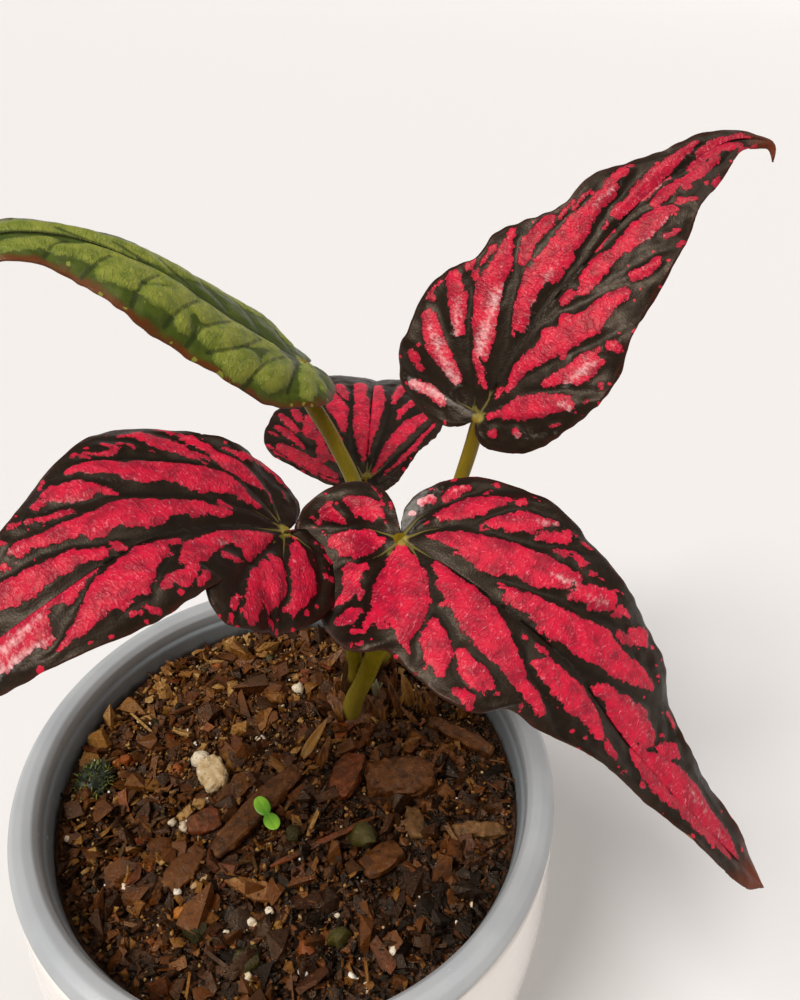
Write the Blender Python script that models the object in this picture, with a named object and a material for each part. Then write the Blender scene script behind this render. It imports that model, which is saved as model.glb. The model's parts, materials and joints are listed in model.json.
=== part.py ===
"""Potted begonia: five long-tipped leaves on bare petioles, rising from a crown in bark mix.
A grey plastic liner holds the mix and hangs by its rim in a white outer pot.
Metres, +Z up. The origin is on the pot's axis, at the underside of its base."""
import math
import random
from dataclasses import dataclass

import bmesh
import bpy
import numpy as np
from mathutils import Matrix, Vector, noise

MM = 0.001
GAP = 0.3                   # clearance between pieces that touch on the real plant

# Outer pot and liner
POT_HEIGHT = 119.4          # top edge of the white pot, under the liner's rim
POT_RADIUS = 72.4           # at its widest
POT_FOOT_RADIUS = 61.0
RIM_TOP = 125.0             # top of the liner's rim: the height of the whole pot
RIM_RADIUS = 70.0
LINER_FLOOR = 6.9           # top of the liner's floor
DRAIN_RADIUS = 4.0
DRAIN_RING = 30.0
DRAIN_HOLES = 6
ROUND_STEPS = 48

# Growing mix
SOIL_TOP = 112.0
SOIL_RELIEF = 1.5           # how far the surface rises and falls
SOIL_RINGS = 11
CRUMBS = 28
CRUMB_SIZE = (1.6, 3.0)
SEED = 11

# Plant
BLADE_THICKNESS = 0.7
BLADE_ROWS = 30             # steps along each half's margin
BLADE_COLUMNS = 4           # steps from midrib to margin
LOBE_SHARE = 0.33           # share of the margin whose veins start at the petiole
VEIN_SPREAD = 0.8           # how the other veins' feet move out along the midrib
CROWN_CENTRE = (14.8, 30.3, 111.2)
CROWN_RADII = (11.5, 11.0, 5.2)
PETIOLE_FOOT = 109.5        # height of the petioles' feet in the crown
PETIOLE_POINTS = 15


@dataclass
class Leaf:
    """One leaf. Outlines are of its halves laid flat: along the midrib and across it."""
    midrib: list            # points from the petiole's top to the tip
    face: tuple             # where the upper side looks, at the base and at the tip
    fold: tuple             # degrees that the left and the right half rise from the midrib
    curl: tuple             # degrees per mm that each half bends on, at base, middle and tip
    left: list
    right: list
    waves: tuple            # waves along the left and the right margin, and their height
    petiole: list           # points between the crown and the blade
    stalk: tuple            # radius of the petiole at its foot and near the blade
    colour: tuple


LEAVES = {
    "right": Leaf(
        midrib=[(45, 47, 204), (55, 53, 223), (68, 60, 240), (88, 71, 259), (106, 76, 266.5),
                (111, 75, 265.5), (111.5, 73, 262)],
        face=((-0.25, -0.66, 0.66), (-0.25, -0.70, 0.62)),
        fold=(8, 8),
        curl=((-0.2, -0.3, 0), (-0.2, -0.3, 0)),
        left=[(0, 0), (-2, 1.2), (-5, 4), (-7, 10), (-6, 17), (-3, 24), (3, 27), (11, 27.5),
              (17, 29), (24, 27.5), (32, 22), (38, 22.5), (45, 18.5), (53, 13.5), (62, 13),
              (69, 9.5), (76, 6.5), (85, 4.5), (93, 2), (104.5, 0)],
        right=[(0, 0), (-2.5, -0.8), (-5, -4), (-3.5, -11), (1, -17), (7, -20.5), (13, -23),
               (21, -25), (29, -24.5), (37, -21.5), (45, -19.5), (55, -17.5), (65, -15),
               (75, -10.5), (84, -7.5), (92, -3.5), (104.5, 0)],
        waves=(5, 7, 1.0),
        petiole=[(19.8, 29.3), (25, 33, 130), (35, 42, 160), (42.5, 48.5, 184.5)],
        stalk=(2.3, 1.9),
        colour=(0.42, 0.03, 0.06)),
    "green": Leaf(
        midrib=[(0, 51, 216), (-15, 44, 230), (-30, 39, 243), (-48, 34, 251), (-57, 30, 252),
                (-70, 26, 246), (-84, 21, 229)],
        face=((0.6, 0.1, 0.78), (0.1, -0.05, 0.95)),
        fold=(2, 12),
        curl=((-2.2, -2.0, -2.0), (-1.8, -1.8, -1.5)),
        left=[(0, 0), (-4, -1), (-9, -2), (-11.5, 1), (-10.5, 6), (-7, 11), (0, 15.5),
              (8, 18.5), (18, 20), (27, 19.5), (34, 18.5), (42, 19), (49, 16), (56, 13),
              (66, 11), (78, 8.5), (92, 4.5), (110, 0)],
        right=[(0, 0), (-4, -3), (-6, -8), (-4, -14), (2, -19), (11, -22), (22, -21.5),
               (34, -18), (46, -13.5), (58, -9.5), (72, -7), (88, -4.5), (110, 0)],
        waves=(6, 6, 0.8),
        petiole=[(13, 32), (15, 36, 135), (16, 41, 160), (14.2, 44, 183), (8.2, 46.5, 196)],
        stalk=(2.3, 2.0),
        colour=(0.10, 0.20, 0.03)),
    "back": Leaf(
        midrib=[(16, 64, 173), (16, 72, 175), (16, 84, 178), (16, 99, 180), (16, 113, 178),
                (17, 127, 170), (18, 140, 156)],
        face=((0, -0.5, 0.87), (0, 0.35, 0.93)),
        fold=(6, 6),
        curl=((0.2, -0.2, -0.5), (0.2, -0.2, -0.5)),
        left=[(0, 0), (-4, 1.5), (-7, 5), (-4, 9.5), (-2, 14), (1, 21), (4, 28), (9, 31.5),
              (17, 31), (26, 27.5), (37, 22), (49, 16.5), (61, 10), (72, 4.5), (85, 0)],
        right=[(0, 0), (-4, -1.5), (-6, -4), (-3, -8), (2, -11), (7, -14), (12, -18), (19, -22),
               (28, -24), (38, -21.5), (50, -16), (61, -10), (72, -4.5), (85, 0)],
        waves=(5, 5, 0.8),
        petiole=[(18.5, 36), (18, 40, 125), (17, 50, 148), (16.5, 58, 162)],
        stalk=(2.0, 1.7),
        colour=(0.36, 0.04, 0.06)),
    "left": Leaf(
        midrib=[(2, 3, 200), (-8, -5, 207), (-21, -19, 213), (-32, -30, 210), (-41, -36, 205),
                (-52, -40, 195), (-65, -44, 179)],
        face=((-0.10, -0.45, 0.9), (0.0, -0.3, 0.95)),
        fold=(6, 6),
        curl=((-0.8, -2.2, -1.2), (-0.4, -0.4, -0.5)),
        left=[(0, 0), (-4, -0.6), (-8, -0.9), (-11, 0.5), (-12.5, 6), (-12, 11), (-9, 16),
              (-5, 19.5), (2, 22), (12, 24), (22, 23.5), (28, 19), (28, 15), (23, 13),
              (28, 14), (38, 14.5), (49, 12.5), (60, 10), (72, 7), (84, 3.5), (99, 0)],
        right=[(0, 0), (-3.5, -2.2), (-7, -7), (-7, -12.5), (-5, -18), (0, -21.5), (7, -22),
               (13, -26), (20, -30.5), (27, -29.5), (36, -26), (46, -21), (57, -16), (70, -10.5),
               (84, -5), (99, 0)],
        waves=(6, 5, 0.9),
        petiole=[(9, 27.5), (13.5, 24, 132), (13.5, 18, 154), (8, 9, 182)],
        stalk=(2.3, 1.9),
        colour=(0.45, 0.03, 0.06)),
    "front": Leaf(
        midrib=[(27, -2, 203), (42, -12, 200), (58, -22, 193), (74, -31, 176), (105, -42, 147)],
        face=((0.10, -0.45, 0.88), (0.3, -0.3, 0.9)),
        fold=(5, 5),
        curl=((-0.3, -0.6, -0.8), (-0.3, -0.6, -0.8)),
        left=[(0, 0), (-3.5, 5), (-4.5, 11), (-2, 17), (3, 21.5), (9, 24.5), (16, 26),
              (24, 26.5), (32, 25), (40, 22.5), (48, 22), (55, 20), (62, 17.5), (68, 14.5),
              (74, 11), (82, 9.5), (91, 7), (99, 4.5), (107.5, 0)],
        right=[(0, 0), (-3, 2.5), (-9, 7), (-16, 7), (-21, 1), (-21.5, -6), (-19, -12),
               (-12, -18), (-3, -23), (3, -25.5), (8, -25), (12, -21.5), (18, -22), (27, -22.5),
               (33, -21), (37, -16), (45, -14), (55, -9.5), (62, -7), (72, -5.5), (84, -4.5),
               (96, -4), (103, -3), (107.5, 0)],
        waves=(7, 6, 1.0),
        petiole=[(14.5, 24.5), (18.4, 21.5, 133), (21.9, 16, 152), (25.5, 6, 182)],
        stalk=(2.8, 2.1),
        colour=(0.40, 0.02, 0.05)),
}


@dataclass
class Chip:
    """A loose piece bedded in the mix: middle, size, turn about Z, tilt about its long side."""
    place: tuple
    size: tuple
    turn: float
    tilt: float
    colour: tuple


CHIPS = {
    "bark_stick_long": Chip((-8.1, -8.0, 113.2), (33, 7.0, 4.2), 55.5, 8, (0.10, 0.055, 0.03)),
    "bark_chip_red": Chip((-21.6, -12.0, 113.0), (9, 6.5, 2.6), 20, 12, (0.24, 0.09, 0.04)),
    "bark_chip_dark": Chip((-23.7, -24.6, 112.6), (13, 7, 3.0), 60, 6, (0.05, 0.03, 0.02)),
    "bark_slab_red": Chip((14.6, 3.6, 113.4), (15, 9, 3.2), 70, -14, (0.20, 0.08, 0.04)),
    "bark_lump": Chip((29.5, 3.4, 113.6), (20, 12.5, 7.5), 8, 4, (0.17, 0.10, 0.06)),
    "bark_chip_pointed": Chip((25.5, -19.8, 112.8), (12, 8.5, 2.6), 35, -16, (0.13, 0.07, 0.04)),
    "chip_grey": Chip((33.8, -9.7, 113.2), (9.5, 5, 2.4), 100, 14, (0.30, 0.28, 0.22)),
    "stick_tan": Chip((50.6, -11.0, 113.0), (15, 4.2, 3.4), 2, 10, (0.36, 0.22, 0.12)),
    "stick_back": Chip((46.8, 18.7, 113.0), (23, 5, 3.2), -30, 8, (0.15, 0.10, 0.07)),
    "twig": Chip((10.3, -16.2, 113.2), (30, 1.5, 1.5), 30.2, 0, (0.22, 0.10, 0.05)),
    "perlite_chunk": Chip((-22.4, 2.3, 113.2), (11.5, 7.5, 5.0), -62, 5, (0.62, 0.55, 0.44)),
}

MOSS_PLACE = (-54.0, -1.0, 112.0)
MOSS_RADII = (5.6, 6.8, 5.0)
SEEDLING_FOOT = (-4.3, -11.4)
SEEDLING_HEIGHT = 4.6
COTYLEDON_TURNS = (128, -55)
COTYLEDON_REACH = 2.7       # from the stem to the middle of a seed leaf
COTYLEDON_RADII = (2.9, 2.0, 0.45)


def clear_scene():
    for thing in list(bpy.data.objects):
        bpy.data.objects.remove(thing, do_unlink=True)


def material(name, colour, roughness, metallic=0.0):
    mat = bpy.data.materials.new(name)
    mat.use_nodes = True
    shader = mat.node_tree.nodes["Principled BSDF"]
    shader.inputs["Base Color"].default_value = (*colour, 1)
    shader.inputs["Roughness"].default_value = roughness
    shader.inputs["Metallic"].default_value = metallic
    return mat


def add_object(name, bm, colour, roughness, smooth=None):
    """Make a finished object from a mesh in mm and give it its own material"""
    bmesh.ops.scale(bm, vec=(MM, MM, MM), verts=bm.verts)
    mesh = bpy.data.meshes.new(name)
    bm.to_mesh(mesh)
    bm.free()
    thing = bpy.data.objects.new(name, mesh)
    bpy.context.scene.collection.objects.link(thing)
    mesh.materials.append(material(name, colour, roughness))
    if smooth is not None:
        mesh.shade_smooth()
        mesh.set_sharp_from_angle(angle=math.radians(smooth))
    return thing


def apply_modifiers(thing):
    graph = bpy.context.evaluated_depsgraph_get()
    shaped = bpy.data.meshes.new_from_object(thing.evaluated_get(graph))
    thing.modifiers.clear()
    thing.data = shaped


def cut(thing, cutters):
    """Subtract closed tool meshes from an object, and remove the tools"""
    for tool in cutters:
        tool.hide_render = True
        tool.display_type = "WIRE"
        step = thing.modifiers.new("cut", "BOOLEAN")
        step.operation = "DIFFERENCE"
        step.solver = "EXACT"
        step.object = tool
    apply_modifiers(thing)
    for tool in cutters:
        bpy.data.objects.remove(tool, do_unlink=True)


def fuse(thing, pieces):
    """Join closed meshes to an object as one body, and remove the pieces"""
    group = bpy.data.collections.new(thing.name + "_pieces")
    for piece in pieces:
        group.objects.link(piece)
    step = thing.modifiers.new("fuse", "BOOLEAN")
    step.operation = "UNION"
    step.solver = "EXACT"
    step.operand_type = "COLLECTION"
    step.collection = group
    apply_modifiers(thing)
    for piece in pieces:
        bpy.data.objects.remove(piece, do_unlink=True)
    bpy.data.collections.remove(group)


def turned(profile, steps=ROUND_STEPS):
    """Spin a profile, given from the axis outwards and back to it, into a closed solid"""
    bm = bmesh.new()
    points = [bm.verts.new((radius, 0, height)) for radius, height in profile]
    edges = [bm.edges.new(pair) for pair in zip(points, points[1:])]
    bmesh.ops.spin(bm, geom=points + edges, cent=(0, 0, 0), axis=(0, 0, 1),
                   angle=math.tau, steps=steps, use_merge=True)
    bmesh.ops.remove_doubles(bm, verts=bm.verts, dist=0.01)
    bmesh.ops.recalc_face_normals(bm, faces=bm.faces)
    return bm


def build_outer_pot():
    """White pot: flat foot, a soft belly and a rounded top edge under the liner's rim"""
    top = POT_HEIGHT
    profile = [(0, 0), (POT_FOOT_RADIUS, 0), (POT_FOOT_RADIUS + 1.5, 1.2), (65, 12), (69.5, 40),
               (POT_RADIUS - 0.2, 72), (POT_RADIUS, 90), (71.2, 108), (70.2, top - 1.2),
               (69.4, top), (67.8, top), (67.2, top - 1.0), (69.0, 90), (69.0, 72),
               (66.3, 40), (61.8, 12), (57.5, 4), (0, 4)]
    return add_object("outer_pot", turned(profile), (0.80, 0.78, 0.75), 0.25, smooth=40)


def build_liner():
    """Grey liner: half-round rim, a step inside it, a tapering wall and a floor with drains"""
    profile = [(0, LINER_FLOOR - 1.6), (53.0, LINER_FLOOR - 1.6), (55.6, 8.0), (63.4, 118.0),
               (63.8, POT_HEIGHT + GAP), (69.2, POT_HEIGHT + GAP), (RIM_RADIUS, 121.0),
               (RIM_RADIUS, 122.8), (68.9, 124.5), (67.0, RIM_TOP), (65.2, 124.6),
               (64.0, 123.2), (63.5, 119.4), (62.1, 118.7), (61.8, 117.8), (54.2, 9.2),
               (52.4, LINER_FLOOR), (0, LINER_FLOOR)]
    liner = add_object("liner", turned(profile), (0.17, 0.18, 0.19), 0.45, smooth=40)
    drains = []
    for hole in range(DRAIN_HOLES + 1):
        angle = math.tau * hole / DRAIN_HOLES
        reach = DRAIN_RING if hole < DRAIN_HOLES else 0
        middle = Vector((reach * math.cos(angle), reach * math.sin(angle), LINER_FLOOR))
        bm = bmesh.new()
        bmesh.ops.create_cone(bm, cap_ends=True, segments=10, radius1=DRAIN_RADIUS,
                              radius2=DRAIN_RADIUS, depth=8, matrix=Matrix.Translation(middle))
        drains.append(add_object("drain", bm, (0, 0, 0), 1))
    cut(liner, drains)
    return liner


def liner_inside(height):
    """Radius of the liner's inner wall at a height"""
    share = (height - 9.2) / (117.8 - 9.2)
    return 54.2 + share * (61.8 - 54.2)


def soil_height(x, y):
    """Surface of the mix: broad swells with coarser lumps on them"""
    broad = noise.noise(Vector((x / 17, y / 17, 3.1)))
    lumps = noise.noise(Vector((x / 6, y / 6, 8.4)))
    return SOIL_TOP + SOIL_RELIEF * (broad + 0.55 * lumps)


def build_soil(crown_tool, chip_tools, keep_clear):
    """Mix that fills the liner, with a rough top, beds for the loose pieces and crumbs"""
    bottom = LINER_FLOOR + GAP
    edge = liner_inside(SOIL_TOP) - GAP
    profile = [(0, bottom), (51.5, bottom), (liner_inside(12) - GAP, 12), (edge, SOIL_TOP)]
    for ring in range(SOIL_RINGS - 1, 0, -1):
        profile.append((edge * ring / SOIL_RINGS, SOIL_TOP))
    profile.append((0, SOIL_TOP))
    bm = turned(profile)
    for vert in bm.verts:
        reach = math.hypot(vert.co.x, vert.co.y)
        if vert.co.z > SOIL_TOP - 0.1 and reach < edge - 0.1:
            vert.co.z = soil_height(vert.co.x, vert.co.y)
    soil = add_object("growing_mix", bm, (0.06, 0.035, 0.02), 0.9)
    cut(soil, [crown_tool] + chip_tools)

    dice = random.Random(SEED)
    crumbs = []
    placed = list(keep_clear)
    while len(crumbs) < CRUMBS:
        angle, reach = dice.uniform(0, math.tau), 56 * math.sqrt(dice.random())
        x, y = reach * math.cos(angle), reach * math.sin(angle)
        size = dice.uniform(*CRUMB_SIZE)
        stretch = (dice.uniform(0.8, 1.5), dice.uniform(0.7, 1.1), dice.uniform(0.6, 0.9))
        turn = dice.uniform(0, math.pi)
        if any(math.hypot(x - px, y - py) < size * 1.6 + room for px, py, room in placed):
            continue
        placed.append((x, y, size * 1.6))
        bm = bmesh.new()
        bmesh.ops.create_icosphere(bm, subdivisions=1, radius=size)
        for vert in bm.verts:
            vert.co *= dice.uniform(0.85, 1.15)
        bmesh.ops.scale(bm, vec=stretch, verts=bm.verts)
        bmesh.ops.rotate(bm, matrix=Matrix.Rotation(turn, 3, "Z"), verts=bm.verts)
        bmesh.ops.translate(bm, vec=(x, y, soil_height(x, y) + 0.2), verts=bm.verts)
        crumbs.append(add_object("crumb", bm, (0, 0, 0), 1))
    fuse(soil, crumbs)
    return soil


def chip_mesh(name, chip, extra=0.0):
    """Weathered block, the same each time for a name, with some extra size for its bed"""
    dice = random.Random(name)
    bm = bmesh.new()
    bmesh.ops.create_cube(bm, size=1)
    size = Vector(chip.size) + Vector((extra, extra, extra)) * 2
    long_edges = [e for e in bm.edges if abs((e.verts[0].co - e.verts[1].co).x) > 0.5]
    bmesh.ops.subdivide_edges(bm, edges=long_edges, cuts=2)
    for vert in bm.verts:
        end = 1 - 0.5 * max(0, abs(vert.co.x) * 2 - 0.4)
        vert.co.y *= end * dice.uniform(0.75, 1.05)
        vert.co.z *= end * dice.uniform(0.8, 1.0)
        vert.co.x *= dice.uniform(0.88, 1.0)
    bmesh.ops.scale(bm, vec=size, verts=bm.verts)
    bmesh.ops.triangulate(bm, faces=bm.faces)
    turn = Matrix.Rotation(math.radians(chip.turn), 4, "Z")
    tilt = Matrix.Rotation(math.radians(chip.tilt), 4, "X")
    bmesh.ops.transform(bm, matrix=Matrix.Translation(chip.place) @ turn @ tilt, verts=bm.verts)
    return bm


def build_chips():
    """Bark, wood and perlite pieces lying in the mix, and the tools that cut their beds"""
    tools, clear = [], []
    for name, chip in CHIPS.items():
        add_object(name, chip_mesh(name, chip), chip.colour, 0.85)
        tools.append(add_object(name + "_bed", chip_mesh(name, chip, GAP), (0, 0, 0), 1))
        along = Vector((math.cos(math.radians(chip.turn)), math.sin(math.radians(chip.turn))))
        for step in (-0.35, 0, 0.35):
            spot = Vector(chip.place[:2]) + along * chip.size[0] * step
            clear.append((spot.x, spot.y, chip.size[1] * 0.75 + 1.5))
    return tools, clear


def smooth_curve(points, count):
    """Evenly spaced points on a smooth curve through the ones given"""
    given = np.array(points, float)
    knots = np.concatenate([[0], np.cumsum(np.linalg.norm(np.diff(given, axis=0), axis=1))])
    slope = np.gradient(given, knots, axis=0)
    t = np.linspace(0, knots[-1], 30 * len(given))
    span = np.clip(np.searchsorted(knots, t, side="right") - 1, 0, len(given) - 2)
    width = (knots[span + 1] - knots[span])[:, None]
    u = (t - knots[span])[:, None] / width
    fine = ((1 + 2 * u) * (1 - u) ** 2 * given[span] + u * (1 - u) ** 2 * width * slope[span]
            + u ** 2 * (3 - 2 * u) * given[span + 1]
            + u ** 2 * (u - 1) * width * slope[span + 1])
    run = np.concatenate([[0], np.cumsum(np.linalg.norm(np.diff(fine, axis=0), axis=1))])
    even = np.linspace(0, run[-1], count)
    return np.stack([np.interp(even, run, axis) for axis in fine.T], axis=1)


def unit(vectors):
    return vectors / np.linalg.norm(vectors, axis=-1, keepdims=True)


def leaf_frame(leaf, along):
    """Place, direction, left hand and upper side of the midrib, carried on straight behind it"""
    line = smooth_curve(leaf.midrib, 200)
    run = np.concatenate([[0], np.cumsum(np.linalg.norm(np.diff(line, axis=0), axis=1))])
    heading = unit(np.gradient(line, run, axis=0))
    inside = np.clip(along, 0, run[-1])
    place = np.stack([np.interp(inside, run, axis) for axis in line.T], axis=-1)
    ahead = unit(np.stack([np.interp(inside, run, axis) for axis in heading.T], axis=-1))
    share = (inside / run[-1])[..., None]
    face = (1 - share) * unit(np.array(leaf.face[0])) + share * unit(np.array(leaf.face[1]))
    hand = unit(np.cross(face, ahead))
    upper = np.cross(ahead, hand)
    return place + ahead * (along - inside)[..., None], ahead, hand, upper, share[..., 0]


def leaf_point(leaf, along, across, lift=0.0):
    """Bend points of the flat leaf. Plus across is the left hand, seen from above"""
    place, _, hand, upper, share = leaf_frame(leaf, along)
    left = across > 0
    rise = np.radians(np.where(left, leaf.fold[0], leaf.fold[1])) * np.clip(along / 8, 0, 1)
    bend = np.where(left, np.interp(share, [0, 0.5, 1], leaf.curl[0]),
                    np.interp(share, [0, 0.5, 1], leaf.curl[1]))
    bend = np.radians(bend) + 1e-9
    reach = np.abs(across)
    out = (np.sin(rise + bend * reach) - np.sin(rise)) / bend
    up = (np.cos(rise) - np.cos(rise + bend * reach)) / bend
    return (place + hand * (np.sign(across) * out)[..., None]
            + upper * (up + lift)[..., None])


def flat_place(leaf, side, share, reach):
    """Flat place of a grid point: share runs along the margin, reach from midrib to margin"""
    outline = smooth_curve(leaf.left if side > 0 else leaf.right, 400)
    stations = np.linspace(0, 1, len(outline))
    margin = np.stack([np.interp(share, stations, axis) for axis in outline.T], axis=-1)
    foot = np.clip((share - LOBE_SHARE) / (1 - LOBE_SHARE), 0, 1) ** VEIN_SPREAD
    foot = np.stack([foot * outline[-1, 0], 0 * foot], axis=-1)
    return foot + (margin - foot) * reach[..., None]


def wave_height(leaf, side, share, reach):
    """How far the waved margin stands off the blade's even curve"""
    count = leaf.waves[0] if side > 0 else leaf.waves[1]
    fade = np.sqrt(np.sin(np.pi * np.clip(share, 0, 1)))
    return leaf.waves[2] * reach ** 3 * fade * np.sin(math.tau * count * share)


def blade_sheet(leaf):
    """Both halves of a blade as one open sheet, joined along the midrib and at the petiole"""
    bm = bmesh.new()
    for side in (1, -1):
        grid = bmesh.ops.create_grid(bm, x_segments=BLADE_ROWS, y_segments=BLADE_COLUMNS,
                                     size=0.5)["verts"]
        share = np.array([vert.co.x + 0.5 for vert in grid])
        reach = np.array([vert.co.y + 0.5 for vert in grid])
        flat = flat_place(leaf, side, share, reach)
        lift = wave_height(leaf, side, share, reach)
        for vert, point in zip(grid, leaf_point(leaf, flat[:, 0], flat[:, 1], lift)):
            vert.co = point
    bmesh.ops.remove_doubles(bm, verts=bm.verts, dist=0.02)
    bmesh.ops.triangulate(bm, faces=bm.faces)
    bmesh.ops.recalc_face_normals(bm, faces=bm.faces)
    return bm


def build_blade(name, leaf):
    blade = add_object("blade_" + name, blade_sheet(leaf), leaf.colour, 0.35)
    skin = blade.modifiers.new("thickness", "SOLIDIFY")
    skin.thickness = BLADE_THICKNESS * MM
    skin.offset = 0
    blade.data.shade_smooth()
    return blade


def petiole_line(leaf):
    """Route of a petiole from its foot in the crown to just under the blade"""
    foot = (*leaf.petiole[0], PETIOLE_FOOT)
    place, ahead, _, upper, _ = (item[0] for item in leaf_frame(leaf, np.array([0.0])))
    below = place - upper * (BLADE_THICKNESS / 2 + GAP + 0.35)
    near = below - upper * 3.0 - ahead * 2.5
    straight = (foot[0], foot[1], foot[2] + 6)
    return smooth_curve([foot, straight] + leaf.petiole[1:] + [near, below], PETIOLE_POINTS)


def petiole_radius(leaf, share):
    """The stalk thins towards the blade and ends in a rounded top"""
    tip = max(0.0, (share - 0.93) / 0.07)
    even = leaf.stalk[0] + (leaf.stalk[1] - leaf.stalk[0]) * share
    return even * (1 - 0.6 * tip)


def build_petiole(name, leaf):
    curve = bpy.data.curves.new("petiole_" + name, "CURVE")
    curve.dimensions = "3D"
    curve.bevel_depth = MM
    curve.bevel_resolution = 2
    curve.use_fill_caps = True
    line = petiole_line(leaf)
    spline = curve.splines.new("POLY")
    spline.points.add(len(line) - 1)
    for index, point in enumerate(line):
        spline.points[index].co = (*(point * MM), 1)
        spline.points[index].radius = petiole_radius(leaf, index / (len(line) - 1))
    stalk = bpy.data.objects.new("petiole_" + name, curve)
    bpy.context.scene.collection.objects.link(stalk)
    curve.materials.append(material("petiole_" + name, (0.16, 0.15, 0.02), 0.45))
    return stalk


def crown_mesh(extra=0.0):
    bm = bmesh.new()
    bmesh.ops.create_icosphere(bm, subdivisions=2, radius=1)
    bmesh.ops.scale(bm, vec=[radius + extra for radius in CROWN_RADII], verts=bm.verts)
    bmesh.ops.translate(bm, vec=CROWN_CENTRE, verts=bm.verts)
    return bm


def build_crown():
    """Short woody crown half sunk in the mix, with dry sheaths and a socket for each petiole"""
    crown = add_object("crown", crown_mesh(), (0.20, 0.09, 0.03), 0.8, smooth=40)
    dice = random.Random(SEED)
    sheaths = []
    for index in range(5):
        angle = math.radians(200 + 72 * index)
        out = Vector((math.cos(angle), math.sin(angle), 0))
        place = Vector(CROWN_CENTRE) + out * 8.6 + Vector((0, 0, 2.2))
        bm = bmesh.new()
        bmesh.ops.create_cone(bm, cap_ends=True, segments=5, radius1=2.4, radius2=0.35, depth=9)
        bmesh.ops.scale(bm, vec=(0.45, 1, 1), verts=bm.verts)
        lean = Matrix.Rotation(math.radians(dice.uniform(14, 30)), 4, "Y")
        spin = Matrix.Rotation(angle, 4, "Z")
        bmesh.ops.transform(bm, matrix=Matrix.Translation(place) @ spin @ lean, verts=bm.verts)
        sheaths.append(add_object("sheath", bm, (0, 0, 0), 1))
    fuse(crown, sheaths)

    sockets = []
    for leaf in LEAVES.values():
        x, y = leaf.petiole[0]
        bm = bmesh.new()
        bmesh.ops.create_cone(bm, cap_ends=True, segments=10, depth=20,
                              radius1=leaf.stalk[0] + GAP, radius2=leaf.stalk[0] + GAP + 0.5)
        bmesh.ops.translate(bm, vec=(x, y, PETIOLE_FOOT - GAP + 10), verts=bm.verts)
        sockets.append(add_object("socket", bm, (0, 0, 0), 1))
    cut(crown, sockets)
    return crown


def build_moss():
    """Dark tuft of moss against the liner's wall, half bedded in the mix"""
    def dome(extra):
        bm = bmesh.new()
        bmesh.ops.create_icosphere(bm, subdivisions=3, radius=1)
        for vert in bm.verts:
            bump = noise.noise(vert.co * 3.3)
            vert.co *= 1 + 0.22 * bump
        bmesh.ops.scale(bm, vec=[radius + extra for radius in MOSS_RADII], verts=bm.verts)
        bmesh.ops.translate(bm, vec=MOSS_PLACE, verts=bm.verts)
        return bm

    add_object("moss_tuft", dome(0), (0.03, 0.06, 0.015), 0.9)
    return add_object("moss_bed", dome(GAP), (0, 0, 0), 1)


def build_seedling():
    """Tiny seedling: a short stem in a plain hole, and two round seed leaves"""
    x, y = SEEDLING_FOOT
    base = soil_height(x, y) - 3
    top = soil_height(x, y) + SEEDLING_HEIGHT
    bm = bmesh.new()
    middle = Matrix.Translation((x, y, (base + top) / 2))
    bmesh.ops.create_cone(bm, cap_ends=True, segments=8, radius1=0.6, radius2=0.5,
                          depth=top - base, matrix=middle)
    seedling = add_object("seedling", bm, (0.10, 0.42, 0.02), 0.4)
    leaves = []
    for turn in COTYLEDON_TURNS:
        bm = bmesh.new()
        bmesh.ops.create_icosphere(bm, subdivisions=2, radius=1)
        bmesh.ops.scale(bm, vec=COTYLEDON_RADII, verts=bm.verts)
        bmesh.ops.translate(bm, vec=(COTYLEDON_REACH, 0, 0), verts=bm.verts)
        lean = Matrix.Rotation(math.radians(-8), 4, "Y")
        spin = Matrix.Rotation(math.radians(turn), 4, "Z")
        stem_top = Matrix.Translation((x, y, top - 0.2))
        bmesh.ops.transform(bm, matrix=stem_top @ spin @ lean, verts=bm.verts)
        leaves.append(add_object("cotyledon", bm, (0, 0, 0), 1))
    fuse(seedling, leaves)

    bm = bmesh.new()
    hole = Matrix.Translation((x, y, base - GAP + 6))
    bmesh.ops.create_cone(bm, cap_ends=True, segments=12, radius1=0.6 + GAP,
                          radius2=0.6 + GAP, depth=12, matrix=hole)
    return add_object("seedling_hole", bm, (0, 0, 0), 1)


def main():
    clear_scene()
    build_outer_pot()
    build_liner()
    for name, leaf in LEAVES.items():
        build_blade(name, leaf)
        build_petiole(name, leaf)
    build_crown()
    tools, clear = build_chips()
    tools += [build_moss(), build_seedling()]
    clear += [(CROWN_CENTRE[0], CROWN_CENTRE[1], CROWN_RADII[0] + 3),
              (MOSS_PLACE[0], MOSS_PLACE[1], MOSS_RADII[1] + 3), (*SEEDLING_FOOT, 3)]
    crown_tool = add_object("crown_bed", crown_mesh(GAP), (0, 0, 0), 1)
    build_soil(crown_tool, tools, clear)


main()
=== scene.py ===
"""Looks of the potted begonia: blotched leaves, petioles, crown, bark mix, liner and pot.
Lengths are in millimetres until a piece is finished; +Z is up, and the photo looks along +Y."""

import json
import math
import random
from dataclasses import dataclass

import bmesh
import bpy
import numpy as np
from mathutils import Matrix, Quaternion, Vector, noise


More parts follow.
